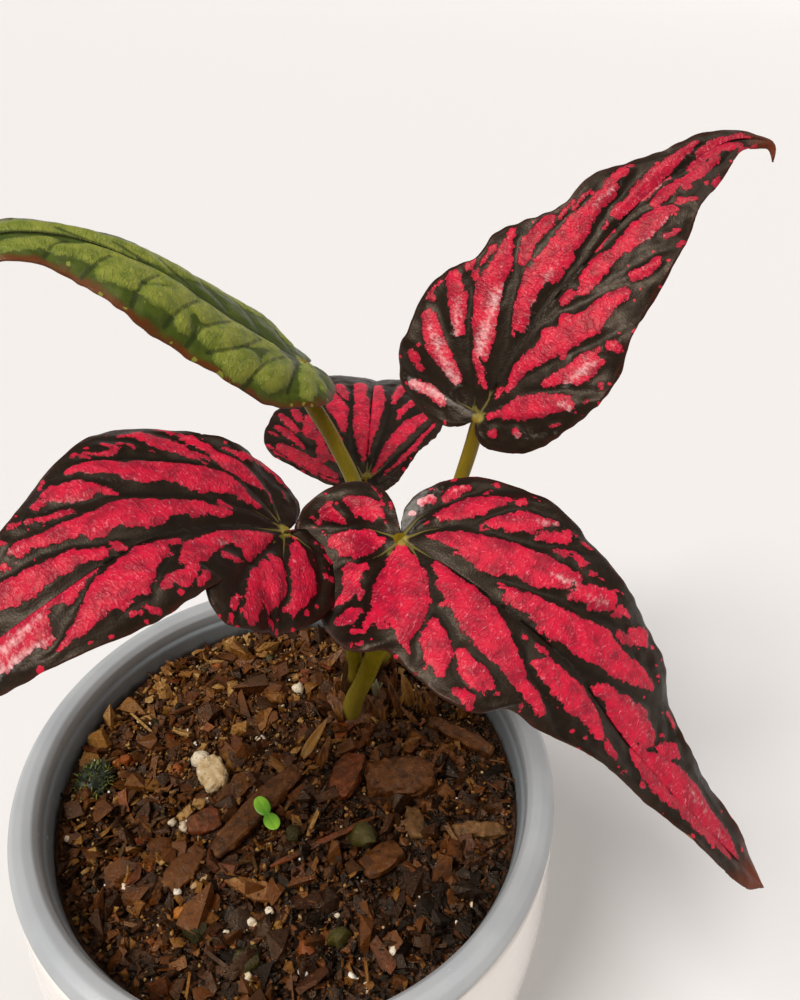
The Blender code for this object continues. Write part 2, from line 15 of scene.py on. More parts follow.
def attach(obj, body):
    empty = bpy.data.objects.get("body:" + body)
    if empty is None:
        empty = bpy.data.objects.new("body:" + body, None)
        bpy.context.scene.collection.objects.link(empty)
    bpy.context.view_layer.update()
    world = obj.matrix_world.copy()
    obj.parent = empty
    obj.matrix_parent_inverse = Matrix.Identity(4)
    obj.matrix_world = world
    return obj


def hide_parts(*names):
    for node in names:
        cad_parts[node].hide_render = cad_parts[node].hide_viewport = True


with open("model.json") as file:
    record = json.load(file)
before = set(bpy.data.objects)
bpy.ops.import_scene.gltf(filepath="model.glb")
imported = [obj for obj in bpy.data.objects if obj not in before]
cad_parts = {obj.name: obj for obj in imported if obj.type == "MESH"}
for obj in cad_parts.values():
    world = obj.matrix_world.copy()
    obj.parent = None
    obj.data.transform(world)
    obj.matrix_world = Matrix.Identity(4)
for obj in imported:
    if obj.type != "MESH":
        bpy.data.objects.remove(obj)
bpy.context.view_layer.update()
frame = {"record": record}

MM = 0.001
PER_MM = (1 / MM, 1 / MM, 1 / MM)     # turns Object coordinates into millimetres
SEED = 11

# The photograph's camera
PHOTO_SIZE = (800, 1000)
FOCAL_PIXELS = 800.0
EYE = (26.2, -129.9, 307.0)
LOOK_DOWN = 36.29            # degrees below the horizon
ROLL = 2.41

# Leaves
BLADE_ROWS = 190             # steps along each half's margin
BLADE_COLUMNS = 38           # steps from midrib to margin
BLADE_THICKNESS = 0.45
LOBE_SHARE = 0.33            # share of the margin whose veins start at the petiole
VEIN_SPREAD = 0.8            # how the other veins' feet move out along the midrib
PUFF = 0.8                   # how far a blade rises between its veins
PUFF_REACH = 2.6             # distance from a vein at which that rise is complete
PUFF_EDGE = 2.5              # width of the strip inside the margin where it fades out
BLOTCH_START = -1.2          # how far inside a blotch it starts to rise as well; minus is outside
BLOTCH_SLOPE = 2.6           # width of the slope from there
TOOTH = 0.5                  # depth of the margin's small teeth
TOOTH_PACE = 46              # how fast the teeth follow each other along a half's margin
QUILT_SIZE = 2.2             # width and height of the small swells of the skin
QUILT_HEIGHT = 0.2
PETIOLE_FOOT = 109.5
PETIOLE_SIDES = 16
DRY_HEIGHT = 132             # below this the older petioles are brown and dry
DRY_FADE = 8

# How much wider some leaves' blotches are than their strokes
STROKE_GAIN = {"right": 0.2, "back": 0.1, "green": 0.8}
NO_STROKE = -9.0             # value of a place that no stroke comes near
NEAR_PIXELS = 0.6            # how exactly a mark's place is found on a blade

# Values that a blade carries for its materials: how far inside a blotch and inside a stroke of
# painted sheen a place lies, and its distance from a vein, the margin, the petiole and the tip
BLADE_VALUES = ("patch", "painted_sheen", "vein", "edge", "knot", "tip")

# Lobes that lie over or under a neighbour: flat middle, reach, and mm towards the camera
LOBE_SHIFTS = {("front", -1): ((-12, -19), 24, -7.5), ("left", 1): ((-6, 15), 20, 4.5)}

# Pots, with their sides as radius and height
POT_HEIGHT = 119.4
POT_FLOOR = 4
POT_OUTSIDE = [(62.5, 1.2), (65, 12), (69.5, 40), (72.2, 72), (72.4, 90), (71.2, 108),
               (70.2, POT_HEIGHT - 1.2)]
POT_INSIDE = [(67.2, POT_HEIGHT - 1.0), (69.0, 90), (69.0, 72), (66.3, 40), (61.8, 12),
              (57.5, POT_FLOOR)]
GAP = 0.3
RIM_TOP = 125.0
RIM_RADIUS = 70.0
LINER_FLOOR = 6.9
LINER_OUTSIDE = [(53.0, LINER_FLOOR - 1.6), (55.6, 8.0), (63.2, 118.0), (63.4, POT_HEIGHT + GAP)]
LINER_RIM = [(69.2, POT_HEIGHT + GAP), (RIM_RADIUS, 121.0), (RIM_RADIUS, 122.6), (68.6, 124.3),
             (66.4, RIM_TOP), (64.2, 124.5), (63.0, 122.8), (62.8, 119.2), (62.1, 118.7)]
LINER_INSIDE = [(61.8, 117.8), (54.2, 9.2)]
ROUND_STEPS = 180

# Growing mix
MIX_FOOT = 51.5              # radius of its flat bottom
MIX_BEND = 12                # height from which it follows the liner's wall
MIX_RINGS = 90
MIX_STEPS = 240
SOIL_TOP = 112.0
SOIL_RELIEF = 2.0            # height of the swells of its top
SOIL_REACH = 60.2            # radius within which crumbs lie

# Small plants and the crown
CROWN_CENTRE = (14.8, 30.3, 111.2)
CROWN_RADII = (10.8, 10.3, 4.9)
SHEATH_FOOT = 112.2
SHEATH_TURNS = (-2.2, -0.9, 0.4, 1.6, 2.8)      # where they stand round a stalk, in radians
MOSS_PLACE = (-54, -1, 112)
MOSS_RADII = (5.2, 6.4, 4.6)
SEEDLING_FOOT = (-5.0, -10.8)
SEEDLING_HEIGHT = 4.6
SEED_LEAF_TURNS = (128, -55)
SEED_LEAF_RADII = (2.9, 2.0, 0.45)

# Studio floor in metres: flat, then swept up far away like a photographer's backdrop
FLOOR_PROFILE = [(0, 0), (5.0, 0), (5.8, 0.1), (6.5, 0.4), (7.1, 0.95), (7.5, 1.7), (7.6, 2.6)]

# Colours
WARM_SHEEN = "#ffe3c6"       # tint of the shine on leaves, stalks and damp mix
# the pale pink and the silver-grey sheen tones of the leaves are painted highlights
CRIMSON = {"ground": "#130b06", "light": "#21150c", "margin": "#36130b", "blotch": "#cc1438",
           "deep": "#8c0f2a", "pale": "#f08794", "knot": "#94843a", "tip": "#672a16",
           "groove": "#0e0805", "sheen_tone_on_blotch": "#f6c3c0", "sheen_tone_on_ground": "#97948c"}
LEAFY = {"ground": "#38470f", "light": "#4c5a18", "margin": "#64290e", "blotch": "#858a34",
         "deep": "#626f24", "pale": "#adb06a", "knot": "#8f9150", "tip": "#7d6a3a",
         "groove": "#26330c", "sheen_tone_on_blotch": "#d8dab8", "sheen_tone_on_ground": "#b4b79a"}

# What the mix is made of: material, its tones from darkest to lightest, and how rough it is
# where dull and where wet
MIX_KINDS = {
    # composted bark and coconut fibre, kept damp: near black, with warm, dry edges
    "mix": ("damp_bark_and_coir_mix",
            ("#0d0502", "#3e2009", "#66360f", "#8a5a20", "#b58c50"), 0.7, 0.14),
    # old pine bark that has soaked up water: brown and dull, with patches of wet shine
    "bark_dark": ("damp_dark_bark",
                  ("#1a0b04", "#46260e", "#633612", "#835223", "#a57c4c"), 0.7, 0.14),
    # fresh inner bark, which flakes and keeps its red
    "bark_red": ("flaky_red_brown_bark",
                 ("#220e05", "#542a10", "#743312", "#8f5726", "#bb8a50"), 0.7, 0.14),
    # splinters of sapwood, gone pale and grey in the open
    "wood_tan": ("weathered_pale_wood",
                 ("#2c1b0b", "#5a3c1c", "#6b4522", "#8c6a3c", "#bf9f70"), 0.7, 0.14),
    # volcanic glass, puffed up by heat: white, with brown in its pores
    "perlite": ("expanded_perlite",
                ("#4a2e16", "#c0a070", "#d9be93", "#efe0c4", "#fff8ea"), 0.6, 0.3),
    # grains with a skin of algae, which turns them olive
    "olive": ("algae_green_grain",
              ("#171407", "#35300f", "#474017", "#736c2e", "#aca664"), 0.7, 0.14),
    # bark full of resin, which glows orange where it is thin
    "amber": ("resinous_amber_bark",
              ("#3a1a08", "#7a3a10", "#944a18", "#bd7830", "#e2a862"), 0.7, 0.14),
}

# Sizes of the patterns on a leaf, in mm
TEAR_SIZE = 1.5              # wrinkles that tear the edge of a blotch
COMB_SIZE = 0.55             # fine teeth on that edge
MOTTLE_SIZE = 4.0            # clouds of deeper colour
STREAK_SIZE = 0.8            # silky strokes that run from the midrib to the margin, painted pale in places as a sheen
CRINKLE_SIZE = 1.9           # short creases that run the same way, painted pale as highlights
STROKE_STRETCH = (1, 0.55, 1)    # draws both out across the leaf
CELL_SIZE = 0.45             # cells of the skin: really about 0.1, and drawn coarser to show
SPECK_SPACING = 2.8          # small round dots, more of them near the margin
RIB_NET_SIZE = 1.6           # net of small ribs on the underside

# Kinds of shader node
ATTRIBUTE = "ShaderNodeAttribute"
BUMP = "ShaderNodeBump"
CELLS = "ShaderNodeTexVoronoi"
COORDS = "ShaderNodeTexCoord"
GRAIN = "ShaderNodeTexNoise"
MAPPING = "ShaderNodeMapping"
MATHS = "ShaderNodeMath"
MIX = "ShaderNodeMix"
PARTS = "ShaderNodeSeparateXYZ"
RANGE = "ShaderNodeMapRange"
SURFACE = "ShaderNodeBsdfPrincipled"
OUTPUT = "ShaderNodeOutputMaterial"


@dataclass
class Leaf:
    """One leaf. Outlines are of its halves laid flat: along the midrib and across it."""
    midrib: list            # points from the petiole's top to the tip
    face: tuple             # where the upper side looks, at the base and at the tip
    fold: tuple             # degrees that the left and the right half rise from the midrib
    curl: tuple             # degrees per mm that each half bends on, at base, middle and tip
    left: list
    right: list
    waves: tuple            # waves along the left and the right margin, and their height
    petiole: list           # points between the crown and the blade
    stalk: tuple            # radius of the petiole at its foot and near the blade


LEAVES = {
    "right": Leaf(
        midrib=[(45, 47, 204), (55, 53, 223), (68, 60, 240), (88, 71, 259), (106, 76, 266.5),
                (111, 75, 265.5), (111.5, 73, 262)],
        face=((-0.25, -0.66, 0.66), (-0.25, -0.70, 0.62)),
        fold=(8, 8),
        curl=((-0.2, -0.3, 0), (-0.2, -0.3, 0)),
        left=[(0, 0), (-2, 1.2), (-5, 4), (-7, 10), (-6, 17), (-3, 24), (3, 27), (11, 27.5),
              (17, 29), (24, 27.5), (32, 22), (38, 22.5), (45, 18.5), (53, 13.5), (62, 13),
              (69, 9.5), (76, 6.5), (85, 4.5), (93, 2), (104.5, 0)],
        right=[(0, 0), (-2.5, -0.8), (-5, -4), (-3.5, -11), (1, -17), (7, -20.5), (13, -23),
               (21, -25), (29, -24.5), (37, -21.5), (45, -19.5), (55, -17.5), (65, -15),
               (75, -10.5), (84, -7.5), (92, -3.5), (104.5, 0)],
        waves=(5, 7, 1.0),
        petiole=[(18.2, 32.5), (23.8, 35, 130), (34.5, 42.5, 160), (42.5, 48.5, 184.5)],
        stalk=(2.3, 1.9)),
    "green": Leaf(
        midrib=[(0, 51, 216), (-15, 44, 230), (-30, 39, 243), (-48, 34, 251), (-57, 30, 252),
                (-70, 26, 246), (-84, 21, 229)],
        face=((0.6, 0.1, 0.78), (0.1, -0.05, 0.95)),
        fold=(2, 15),
        curl=((-2.2, -2.0, -2.0), (-1.8, -4.8, -7.0)),
        left=[(0, 0), (-4, -1), (-9, -2), (-11.5, 1), (-10.5, 6), (-7, 11), (0, 15.5),
              (8, 18.5), (18, 20), (27, 19.5), (34, 18.5), (42, 19), (49, 16), (56, 13),
              (66, 11), (78, 8.5), (92, 4.5), (110, 0)],
        right=[(0, 0), (-4, -3), (-6, -8), (-4, -14), (2, -19), (11, -22), (22, -21.5),
               (34, -18), (46, -13.5), (58, -9.5), (72, -7), (88, -4.5), (110, 0)],
        waves=(6, 6, 0.8),
        petiole=[(13, 32), (15, 36, 135), (16, 41, 160), (14.2, 44, 183), (8.2, 46.5, 196)],
        stalk=(2.3, 2.0)),
    "back": Leaf(
        midrib=[(16, 64, 173), (16, 72, 175), (16, 84, 178), (16, 99, 180), (16, 113, 178),
                (17, 127, 170), (18, 140, 156)],
        face=((0, -0.5, 0.87), (0, 0.35, 0.93)),
        fold=(6, 6),
        curl=((0.2, -0.2, -0.5), (0.2, -0.2, -0.5)),
        left=[(0, 0), (-4, 1.5), (-7, 5), (-4, 9.5), (-2, 14), (1, 21), (4, 28), (9, 31.5),
              (17, 31), (26, 27.5), (37, 22), (49, 16.5), (61, 10), (72, 4.5), (85, 0)],
        right=[(0, 0), (-4, -1.5), (-6, -4), (-3, -8), (2, -11), (7, -14), (12, -18), (19, -22),
               (28, -24), (38, -21.5), (50, -16), (61, -10), (72, -4.5), (85, 0)],
        waves=(5, 5, 0.8),
        petiole=[(18.5, 36), (18, 40, 125), (17, 50, 148), (16.5, 58, 162)],
        stalk=(2.0, 1.7)),
    "left": Leaf(
        midrib=[(2, 3, 200), (-8, -5, 207), (-21, -19, 213), (-32, -30, 210), (-41, -36, 205),
                (-52, -40, 195), (-65, -44, 179)],
        face=((-0.10, -0.45, 0.9), (0.0, -0.3, 0.95)),
        fold=(6, 6),
        curl=((-0.8, -2.2, -1.2), (-0.4, -0.4, -0.5)),
        left=[(0, 0), (-4, -0.6), (-8, -0.9), (-11, 0.5), (-12.5, 6), (-12, 11), (-9, 16),
              (-5, 19.5), (2, 22), (12, 24), (22, 23.5), (28, 19), (28, 15), (23, 13),
              (28, 14), (38, 14.5), (49, 12.5), (60, 10), (72, 7), (84, 3.5), (99, 0)],
        right=[(0, 0), (-3.5, -2.2), (-7, -7), (-7, -12.5), (-5, -18), (0, -21.5), (7, -22),
               (13, -26), (20, -30.5), (27, -29.5), (36, -26), (46, -21), (57, -16), (70, -10.5),
               (84, -5), (99, 0)],
        waves=(6, 5, 0.9),
        petiole=[(13.4, 29.8), (15.4, 25, 132), (14.6, 18, 154), (8, 9, 182)],
        stalk=(1.9, 1.8)),
    "front": Leaf(
        midrib=[(27, -2, 203), (42, -12, 200), (58, -22, 193), (74, -31, 176), (105, -42, 147)],
        face=((0.10, -0.45, 0.88), (0.3, -0.3, 0.9)),
        fold=(5, 5),
        curl=((-0.3, -0.6, -0.8), (-0.3, -0.6, -0.8)),
        left=[(0, 0), (-3.5, 5), (-4.5, 11), (-2, 17), (3, 21.5), (9, 24.5), (16, 26),
              (24, 26.5), (32, 25), (40, 22.5), (48, 22), (55, 20), (62, 17.5), (68, 14.5),
              (74, 11), (82, 9.5), (91, 7), (99, 4.5), (107.5, 0)],
        right=[(0, 0), (-3, 2.5), (-9, 7), (-16, 7), (-21, 1), (-21.5, -6), (-19, -12),
               (-12, -18), (-3, -23), (3, -25.5), (8, -25), (12, -21.5), (18, -22), (27, -22.5),
               (33, -21), (37, -16), (45, -14), (55, -9.5), (62, -7), (72, -5.5), (84, -4.5),
               (96, -4), (103, -3), (107.5, 0)],
        waves=(7, 6, 1.0),
        petiole=[(14.5, 24.5), (18.4, 21.5, 133), (21.9, 16, 152), (25.5, 6, 182)],
        stalk=(2.8, 2.1)),
}


@dataclass
class Half:
    """Marks on one half of a blade, all at pixels of the photograph."""
    blotches: list          # strokes: start, end, and the half width in mm at each
    veins: list             # points of each vein, from the petiole or the midrib outwards
    painted_sheen: tuple = ()       # strokes where a pale, silvery sheen is painted on the skin as a highlight


MARKS = {
    ("right", 1): Half(
        blotches=[
            ((414, 384), (428, 389), 1.2, 1.5), ((428, 389), (441, 401), 1.5, 1.2),
            ((413, 356), (414, 357), 1.4, 1.3), ((420, 367), (421, 369), 1.1, 0.9),
            ((428, 316), (437, 345), 1.7, 2.7), ((437, 345), (455, 378), 2.7, 1.6),
            ((453, 276), (457, 300), 1.6, 2.5), ((457, 300), (460, 330), 2.3, 1.3),
            ((469, 265), (474, 259), 1.2, 0.7), ((476, 274), (475, 279), 0.8, 0.6),
            ((482, 264), (495, 247), 0.4, 0.9), ((429, 297), (434, 299), 0.7, 0.8),
            ((434, 290), (440, 282), 0.5, 0.4), ((508, 243), (503, 262), 1.2, 2.2),
            ((503, 262), (488, 290), 2.4, 3.2), ((488, 290), (484, 320), 3.3, 3.2),
            ((484, 320), (482, 345), 3.1, 2.3), ((482, 345), (486, 358), 2.1, 0.9),
            ((476, 352), (480, 376), 0.8, 1.3), ((482, 384), (485, 388), 0.9, 0.7),
            ((512, 233), (513, 235), 1.2, 1.0), ((524, 258), (530, 240), 1.6, 1.9),
            ((530, 240), (549, 220), 1.9, 1.6), ((512, 337), (513, 335), 0.5, 0.6),
            ((519, 326), (522, 305), 1.9, 2.0), ((522, 305), (535, 278), 2.1, 2.6),
            ((535, 278), (556, 252), 2.8, 3.0), ((553, 275), (557, 272), 1.9, 1.6),
            ((566, 263), (570, 255), 1.2, 1.3), ((556, 252), (580, 225), 3.0, 3.1),
            ((580, 225), (600, 200), 2.6, 1.7), ((600, 200), (611, 190), 1.7, 1.6),
            ((606, 188), (622, 172), 1.1, 1.3), ((574, 208), (588, 192), 0.6, 0.4),
            ((560, 218), (575, 200), 0.4, 0.4), ((629, 166), (630, 167), 0.7, 0.6),
            ((618, 212), (621, 210), 1.9, 1.8), ((608, 222), (603, 228), 0.6, 0.4),
            ((632, 200), (645, 185), 1.7, 1.9), ((645, 185), (668, 165), 1.9, 1.7),
            ((668, 165), (697, 143), 1.5, 0.6), ((702, 155), (722, 142), 1.6, 1.4),
            ((722, 142), (748, 137), 1.4, 0.6)],
        veins=[[(477, 414), (440, 392), (405, 372)], [(477, 412), (462, 375), (445, 335), (436, 300)],
               [(477, 410), (470, 370), (468, 330), (472, 290), (477, 262)],
               [(487, 392), (505, 340), (515, 290), (522, 245), (536, 222)],
               [(503, 362), (545, 302), (575, 262), (605, 215), (636, 178)],
               [(500, 300), (515, 262), (520, 240)]],
        painted_sheen=(((430, 328), (457, 384), 2.0, 2.4), ((457, 300), (459, 334), 1.6, 2.2),
               ((499, 288), (481, 352), 2.2, 2.6), ((414, 380), (444, 402), 2.0, 2.2),
               ((555, 262), (545, 282), 1.2, 1.4), ((626, 176), (592, 206), 0.8, 1.0),
               ((408, 380), (470, 412), 2.6, 2.6), ((534, 300), (528, 330), 0.8, 1.4),
               ((716, 140), (684, 158), 0.6, 0.8))),
    ("right", -1): Half(
        blotches=[
            ((497, 396), (500, 388), 0.6, 0.5), ((508, 388), (518, 370), 0.9, 1.6),
            ((518, 370), (540, 352), 1.8, 2.3), ((540, 352), (560, 338), 2.6, 3.2),
            ((560, 338), (590, 322), 3.2, 3.4), ((590, 322), (612, 300), 2.9, 2.2),
            ((612, 300), (623, 293), 2.0, 1.5), ((546, 333), (550, 335), 1.5, 1.6),
            ((564, 320), (570, 324), 1.6, 1.8), ((563, 356), (561, 350), 0.8, 0.9),
            ((546, 383), (560, 378), 1.1, 1.3), ((560, 378), (578, 372), 1.6, 2.6),
            ((578, 372), (590, 364), 2.9, 2.8), ((590, 364), (603, 363), 2.2, 0.9),
            ((600, 383), (601, 389), 0.7, 0.5), ((598, 350), (598, 351), 0.6, 0.5),
            ((610, 345), (617, 348), 1.4, 1.4), ((505, 412), (520, 406), 1.6, 2.6),
            ((520, 406), (545, 404), 2.9, 2.8), ((545, 404), (565, 403), 2.6, 1.8),
            ((566, 404), (571, 406), 1.6, 1.0), ((488, 416), (495, 414), 0.7, 0.9),
            ((491, 433), (493, 433), 1.0, 1.0), ((515, 430), (518, 435), 0.8, 0.9),
            ((587, 401), (588, 402), 0.6, 0.5), ((550, 427), (560, 425), 0.4, 0.4),
            ((564, 300), (570, 294), 1.4, 1.3), ((583, 291), (588, 280), 1.1, 2.0),
            ((588, 279), (602, 263), 2.2, 2.6), ((602, 263), (618, 252), 2.3, 1.5),
            ((625, 245), (640, 232), 2.2, 3.1), ((640, 232), (660, 215), 2.9, 2.2),
            ((660, 215), (673, 209), 2.0, 1.3), ((590, 248), (612, 228), 0.4, 0.5),
            ((634, 275), (650, 268), 1.3, 1.2), ((650, 268), (658, 260), 1.2, 1.1),
            ((668, 236), (678, 230), 0.9, 0.5), ((678, 245), (685, 242), 0.5, 0.5),
            ((655, 203), (668, 190), 1.1, 1.6), ((668, 190), (678, 183), 1.5, 0.9),
            ((680, 200), (695, 198), 1.0, 0.7), ((683, 182), (700, 172), 1.1, 1.7),
            ((700, 172), (717, 159), 1.5, 0.7), ((686, 186), (688, 187), 0.9, 0.8),
            ((713, 184), (719, 177), 0.9, 0.7), ((640, 200), (668, 178), 0.6, 0.7),
            ((690, 168), (715, 150), 0.9, 1.2), ((715, 150), (740, 145), 1.2, 1.0),
            ((742, 151), (756, 150), 0.8, 0.5)],
        veins=[[(480, 412), (530, 393), (570, 390), (598, 394)],
               [(484, 404), (530, 372), (575, 352), (602, 340), (628, 326)],
               [(532, 330), (580, 303), (628, 284), (664, 270)],
               [(570, 288), (605, 280), (632, 264), (676, 248)],
               [(606, 238), (650, 210), (682, 203), (700, 206)],
               [(640, 202), (675, 180), (712, 168), (728, 160)]],
        painted_sheen=(((590, 364), (566, 386), 2.2, 2.0), ((563, 402), (572, 410), 1.6, 1.6),
               ((674, 212), (640, 249), 0.9, 1.2), ((672, 178), (634, 204), 0.8, 1.0),
               ((612, 346), (616, 352), 1.0, 0.8), ((516, 436), (560, 432), 1.4, 1.2),
               ((676, 262), (664, 278), 0.8, 0.8))),
    ("front", 1): Half(
        blotches=[
            ((422, 502), (430, 499), 1.1, 1.3), ((410, 514), (414, 513), 0.6, 0.7),
            ((434, 490), (437, 491), 0.5, 0.4), ((445, 499), (455, 492), 0.9, 1.6),
            ((455, 492), (462, 488), 1.4, 1.0), ((464, 487), (470, 488), 0.8, 0.8),
            ((456, 482), (457, 482), 0.3, 0.3), ((440, 516), (452, 513), 1.3, 1.9),
            ((452, 513), (472, 507), 2.0, 2.8), ((472, 507), (490, 504), 2.8, 2.1),
            ((490, 504), (508, 500), 1.9, 0.9), ((484, 494), (490, 491), 0.6, 0.3),
            ((423, 525), (428, 522), 0.5, 0.5), ((481, 524), (495, 521), 0.5, 1.2),
            ((495, 521), (510, 521), 1.4, 2.2), ((510, 521), (528, 524), 2.3, 2.7),
            ((528, 524), (545, 522), 2.6, 1.1), ((483, 528), (488, 527), 0.5, 0.5),
            ((520, 503), (523, 501), 1.0, 1.0), ((534, 539), (545, 536), 0.5, 0.9),
            ((545, 536), (555, 538), 1.2, 1.4), ((555, 538), (566, 538), 1.5, 1.2),
            ((566, 535), (575, 536), 1.0, 0.5), ((554, 523), (557, 523), 0.7, 0.6),
            ((556, 552), (564, 554), 0.9, 1.1), ((564, 554), (572, 552), 1.0, 0.5),
            ((583, 545), (590, 548), 0.9, 0.8), ((577, 558), (580, 563), 0.9, 1.1),
            ((583, 566), (588, 565), 0.4, 0.4), ((590, 574), (594, 573), 0.7, 0.6),
            ((602, 580), (603, 580), 0.5, 0.5), ((533, 497), (535, 497), 0.4, 0.4),
            ((492, 485), (497, 485), 0.4, 0.4), ((481, 488), (482, 488), 0.3, 0.3),
            ((428, 535), (440, 536), 0.5, 1.2), ((440, 536), (460, 541), 1.3, 2.4),
            ((460, 541), (480, 549), 2.5, 3.4), ((480, 549), (500, 556), 3.6, 3.9),
            ((500, 556), (520, 560), 3.9, 3.6), ((520, 560), (540, 570), 3.6, 4.0),
            ((540, 570), (558, 577), 3.9, 3.0), ((558, 577), (578, 578), 2.6, 1.0),
            ((455, 552), (462, 556), 0.7, 0.6), ((480, 565), (495, 568), 1.3, 1.4),
            ((571, 597), (582, 594), 0.8, 1.7), ((582, 594), (600, 597), 1.9, 2.4),
            ((600, 597), (612, 598), 2.2, 1.3), ((590, 606), (608, 607), 0.9, 0.8),
            ((613, 613), (622, 612), 0.9, 1.1), ((622, 612), (628, 615), 1.1, 0.7),
            ((616, 590), (623, 594), 0.4, 0.4), ((617, 635), (619, 635), 0.9, 0.9),
            ((632, 632), (643, 637), 1.2, 2.0), ((630, 640), (645, 645), 1.2, 1.0),
            ((620, 641), (628, 640), 0.5, 0.8), ((638, 657), (639, 657), 0.4, 0.4),
            ((652, 664), (656, 666), 0.4, 0.4), ((499, 586), (500, 585), 0.7, 0.6),
            ((508, 590), (515, 597), 0.9, 1.7), ((512, 597), (530, 604), 1.8, 2.2),
            ((530, 604), (550, 615), 2.3, 3.0), ((550, 615), (570, 630), 3.1, 3.5),
            ((570, 630), (585, 640), 3.5, 4.0), ((585, 640), (600, 647), 4.0, 4.1),
            ((600, 647), (620, 665), 3.9, 3.0), ((620, 665), (640, 678), 2.9, 2.3),
            ((640, 678), (648, 686), 2.0, 1.2), ((528, 618), (535, 620), 0.6, 0.6),
            ((542, 628), (552, 634), 1.0, 1.4), ((596, 690), (606, 693), 1.2, 1.6),
            ((606, 693), (620, 708), 1.8, 3.4), ((620, 708), (635, 722), 3.4, 4.1),
            ((635, 722), (647, 737), 3.8, 2.4), ((618, 726), (632, 746), 0.8, 1.4),
            ((632, 746), (652, 768), 1.4, 2.4), ((662, 752), (672, 750), 1.8, 1.8),
            ((672, 750), (678, 756), 1.5, 0.8), ((655, 760), (672, 778), 1.8, 3.0),
            ((672, 778), (690, 800), 3.2, 3.6), ((690, 800), (708, 822), 3.4, 2.6),
            ((708, 822), (724, 840), 2.4, 2.0), ((724, 840), (737, 857), 1.9, 1.0),
            ((668, 713), (673, 725), 0.8, 0.9), ((660, 734), (664, 736), 0.6, 0.5),
            ((662, 712), (663, 713), 0.5, 0.4), ((657, 677), (658, 678), 0.4, 0.4)],
        veins=[[(405, 532), (425, 513), (445, 503), (470, 494), (510, 490), (540, 497)],
               [(404, 537), (430, 529), (470, 523), (500, 513), (530, 507), (552, 515)],
               [(465, 526), (500, 534), (520, 540), (545, 544), (592, 552)],
               [(478, 578), (520, 584), (545, 593), (566, 600), (600, 614), (650, 640)],
               [(560, 652), (580, 668), (600, 680), (640, 697), (668, 712)],
               [(640, 755), (655, 745), (680, 735)]],
        painted_sheen=(((404, 524), (420, 490), 4.2, 4.0), ((424, 500), (442, 486), 2.6, 1.6),
               ((452, 492), (470, 488), 1.2, 1.0), ((540, 522), (556, 528), 1.6, 1.2),
               ((556, 576), (576, 584), 1.8, 1.6), ((586, 596), (604, 600), 1.2, 1.2),
               ((630, 700), (646, 734), 0.8, 0.8), ((690, 790), (728, 846), 1.0, 0.8))),
    ("front", -1): Half(
        blotches=[
            ((330, 502), (329, 511), 0.9, 1.9), ((329, 511), (345, 520), 2.0, 0.7),
            ((313, 518), (319, 521), 0.4, 0.8), ((348, 500), (357, 503), 1.2, 2.1),
            ((357, 503), (366, 507), 2.2, 2.8), ((366, 507), (372, 514), 2.8, 1.9),
            ((354, 508), (356, 517), 1.0, 0.5), ((376, 505), (380, 515), 1.1, 1.0),
            ((378, 495), (383, 505), 0.6, 0.7), ((372, 486), (374, 491), 0.5, 0.5),
            ((390, 503), (391, 510), 0.4, 0.4), ((325, 494), (326, 494), 0.4, 0.3),
            ((385, 521), (386, 525), 0.3, 0.3), ((323, 533), (324, 535), 0.4, 0.4),
            ((335, 540), (350, 543), 2.0, 3.2), ((350, 543), (365, 541), 3.3, 3.1),
            ((365, 541), (382, 541), 2.9, 1.1), ((342, 553), (356, 556), 0.9, 0.7),
            ((366, 566), (352, 572), 1.0, 1.9), ((352, 572), (350, 585), 2.2, 1.9),
            ((350, 585), (345, 598), 2.0, 1.2), ((345, 600), (335, 608), 1.0, 0.5),
            ((360, 592), (359, 598), 0.9, 0.8), ((360, 608), (350, 615), 0.9, 1.6),
            ((350, 615), (345, 622), 1.7, 1.4), ((345, 622), (340, 621), 1.3, 0.6),
            ((352, 630), (358, 633), 0.5, 0.7), ((351, 645), (363, 642), 0.5, 0.7),
            ((364, 632), (374, 618), 0.6, 1.6), ((374, 618), (383, 622), 1.6, 1.2),
            ((378, 628), (388, 628), 0.8, 0.6), ((402, 546), (402, 560), 0.9, 3.0),
            ((402, 560), (402, 580), 3.3, 4.9), ((402, 580), (402, 600), 5.2, 5.9),
            ((402, 600), (404, 615), 5.6, 3.8), ((404, 615), (403, 635), 3.4, 1.8),
            ((380, 605), (374, 609), 1.0, 0.5), ((376, 588), (373, 594), 0.8, 0.6),
            ((405, 644), (410, 652), 0.5, 0.5), ((433, 623), (435, 640), 1.4, 2.8),
            ((435, 640), (440, 655), 2.9, 3.1), ((440, 655), (441, 670), 2.8, 1.2),
            ((438, 566), (448, 580), 1.2, 2.4), ((448, 580), (464, 600), 2.5, 3.6),
            ((464, 600), (479, 620), 3.7, 4.4), ((479, 620), (491, 638), 4.4, 3.9),
            ((491, 638), (508, 660), 3.8, 2.7), ((508, 660), (520, 680), 2.5, 2.0),
            ((520, 680), (534, 700), 1.9, 1.6), ((534, 700), (541, 712), 1.5, 1.2),
            ((441, 604), (450, 600), 0.7, 1.2), ((463, 655), (469, 666), 1.2, 1.8),
            ((469, 666), (478, 678), 2.0, 2.6), ((478, 678), (488, 684), 2.2, 1.5),
            ((455, 690), (468, 697), 0.8, 1.6), ((468, 697), (470, 704), 1.6, 1.0),
            ((483, 694), (484, 695), 0.5, 0.4), ((496, 692), (497, 692), 0.5, 0.4),
            ((520, 706), (522, 706), 0.6, 0.6), ((424, 669), (425, 669), 0.5, 0.5),
            ((417, 672), (420, 674), 0.6, 0.4), ((538, 663), (548, 670), 1.3, 2.4),
            ((548, 670), (560, 685), 2.5, 2.9), ((560, 685), (575, 700), 2.9, 3.3),
            ((575, 700), (588, 716), 3.1, 2.4), ((588, 716), (599, 734), 2.2, 1.5),
            ((606, 745), (613, 754), 1.0, 1.2), ((523, 637), (527, 636), 0.5, 0.5),
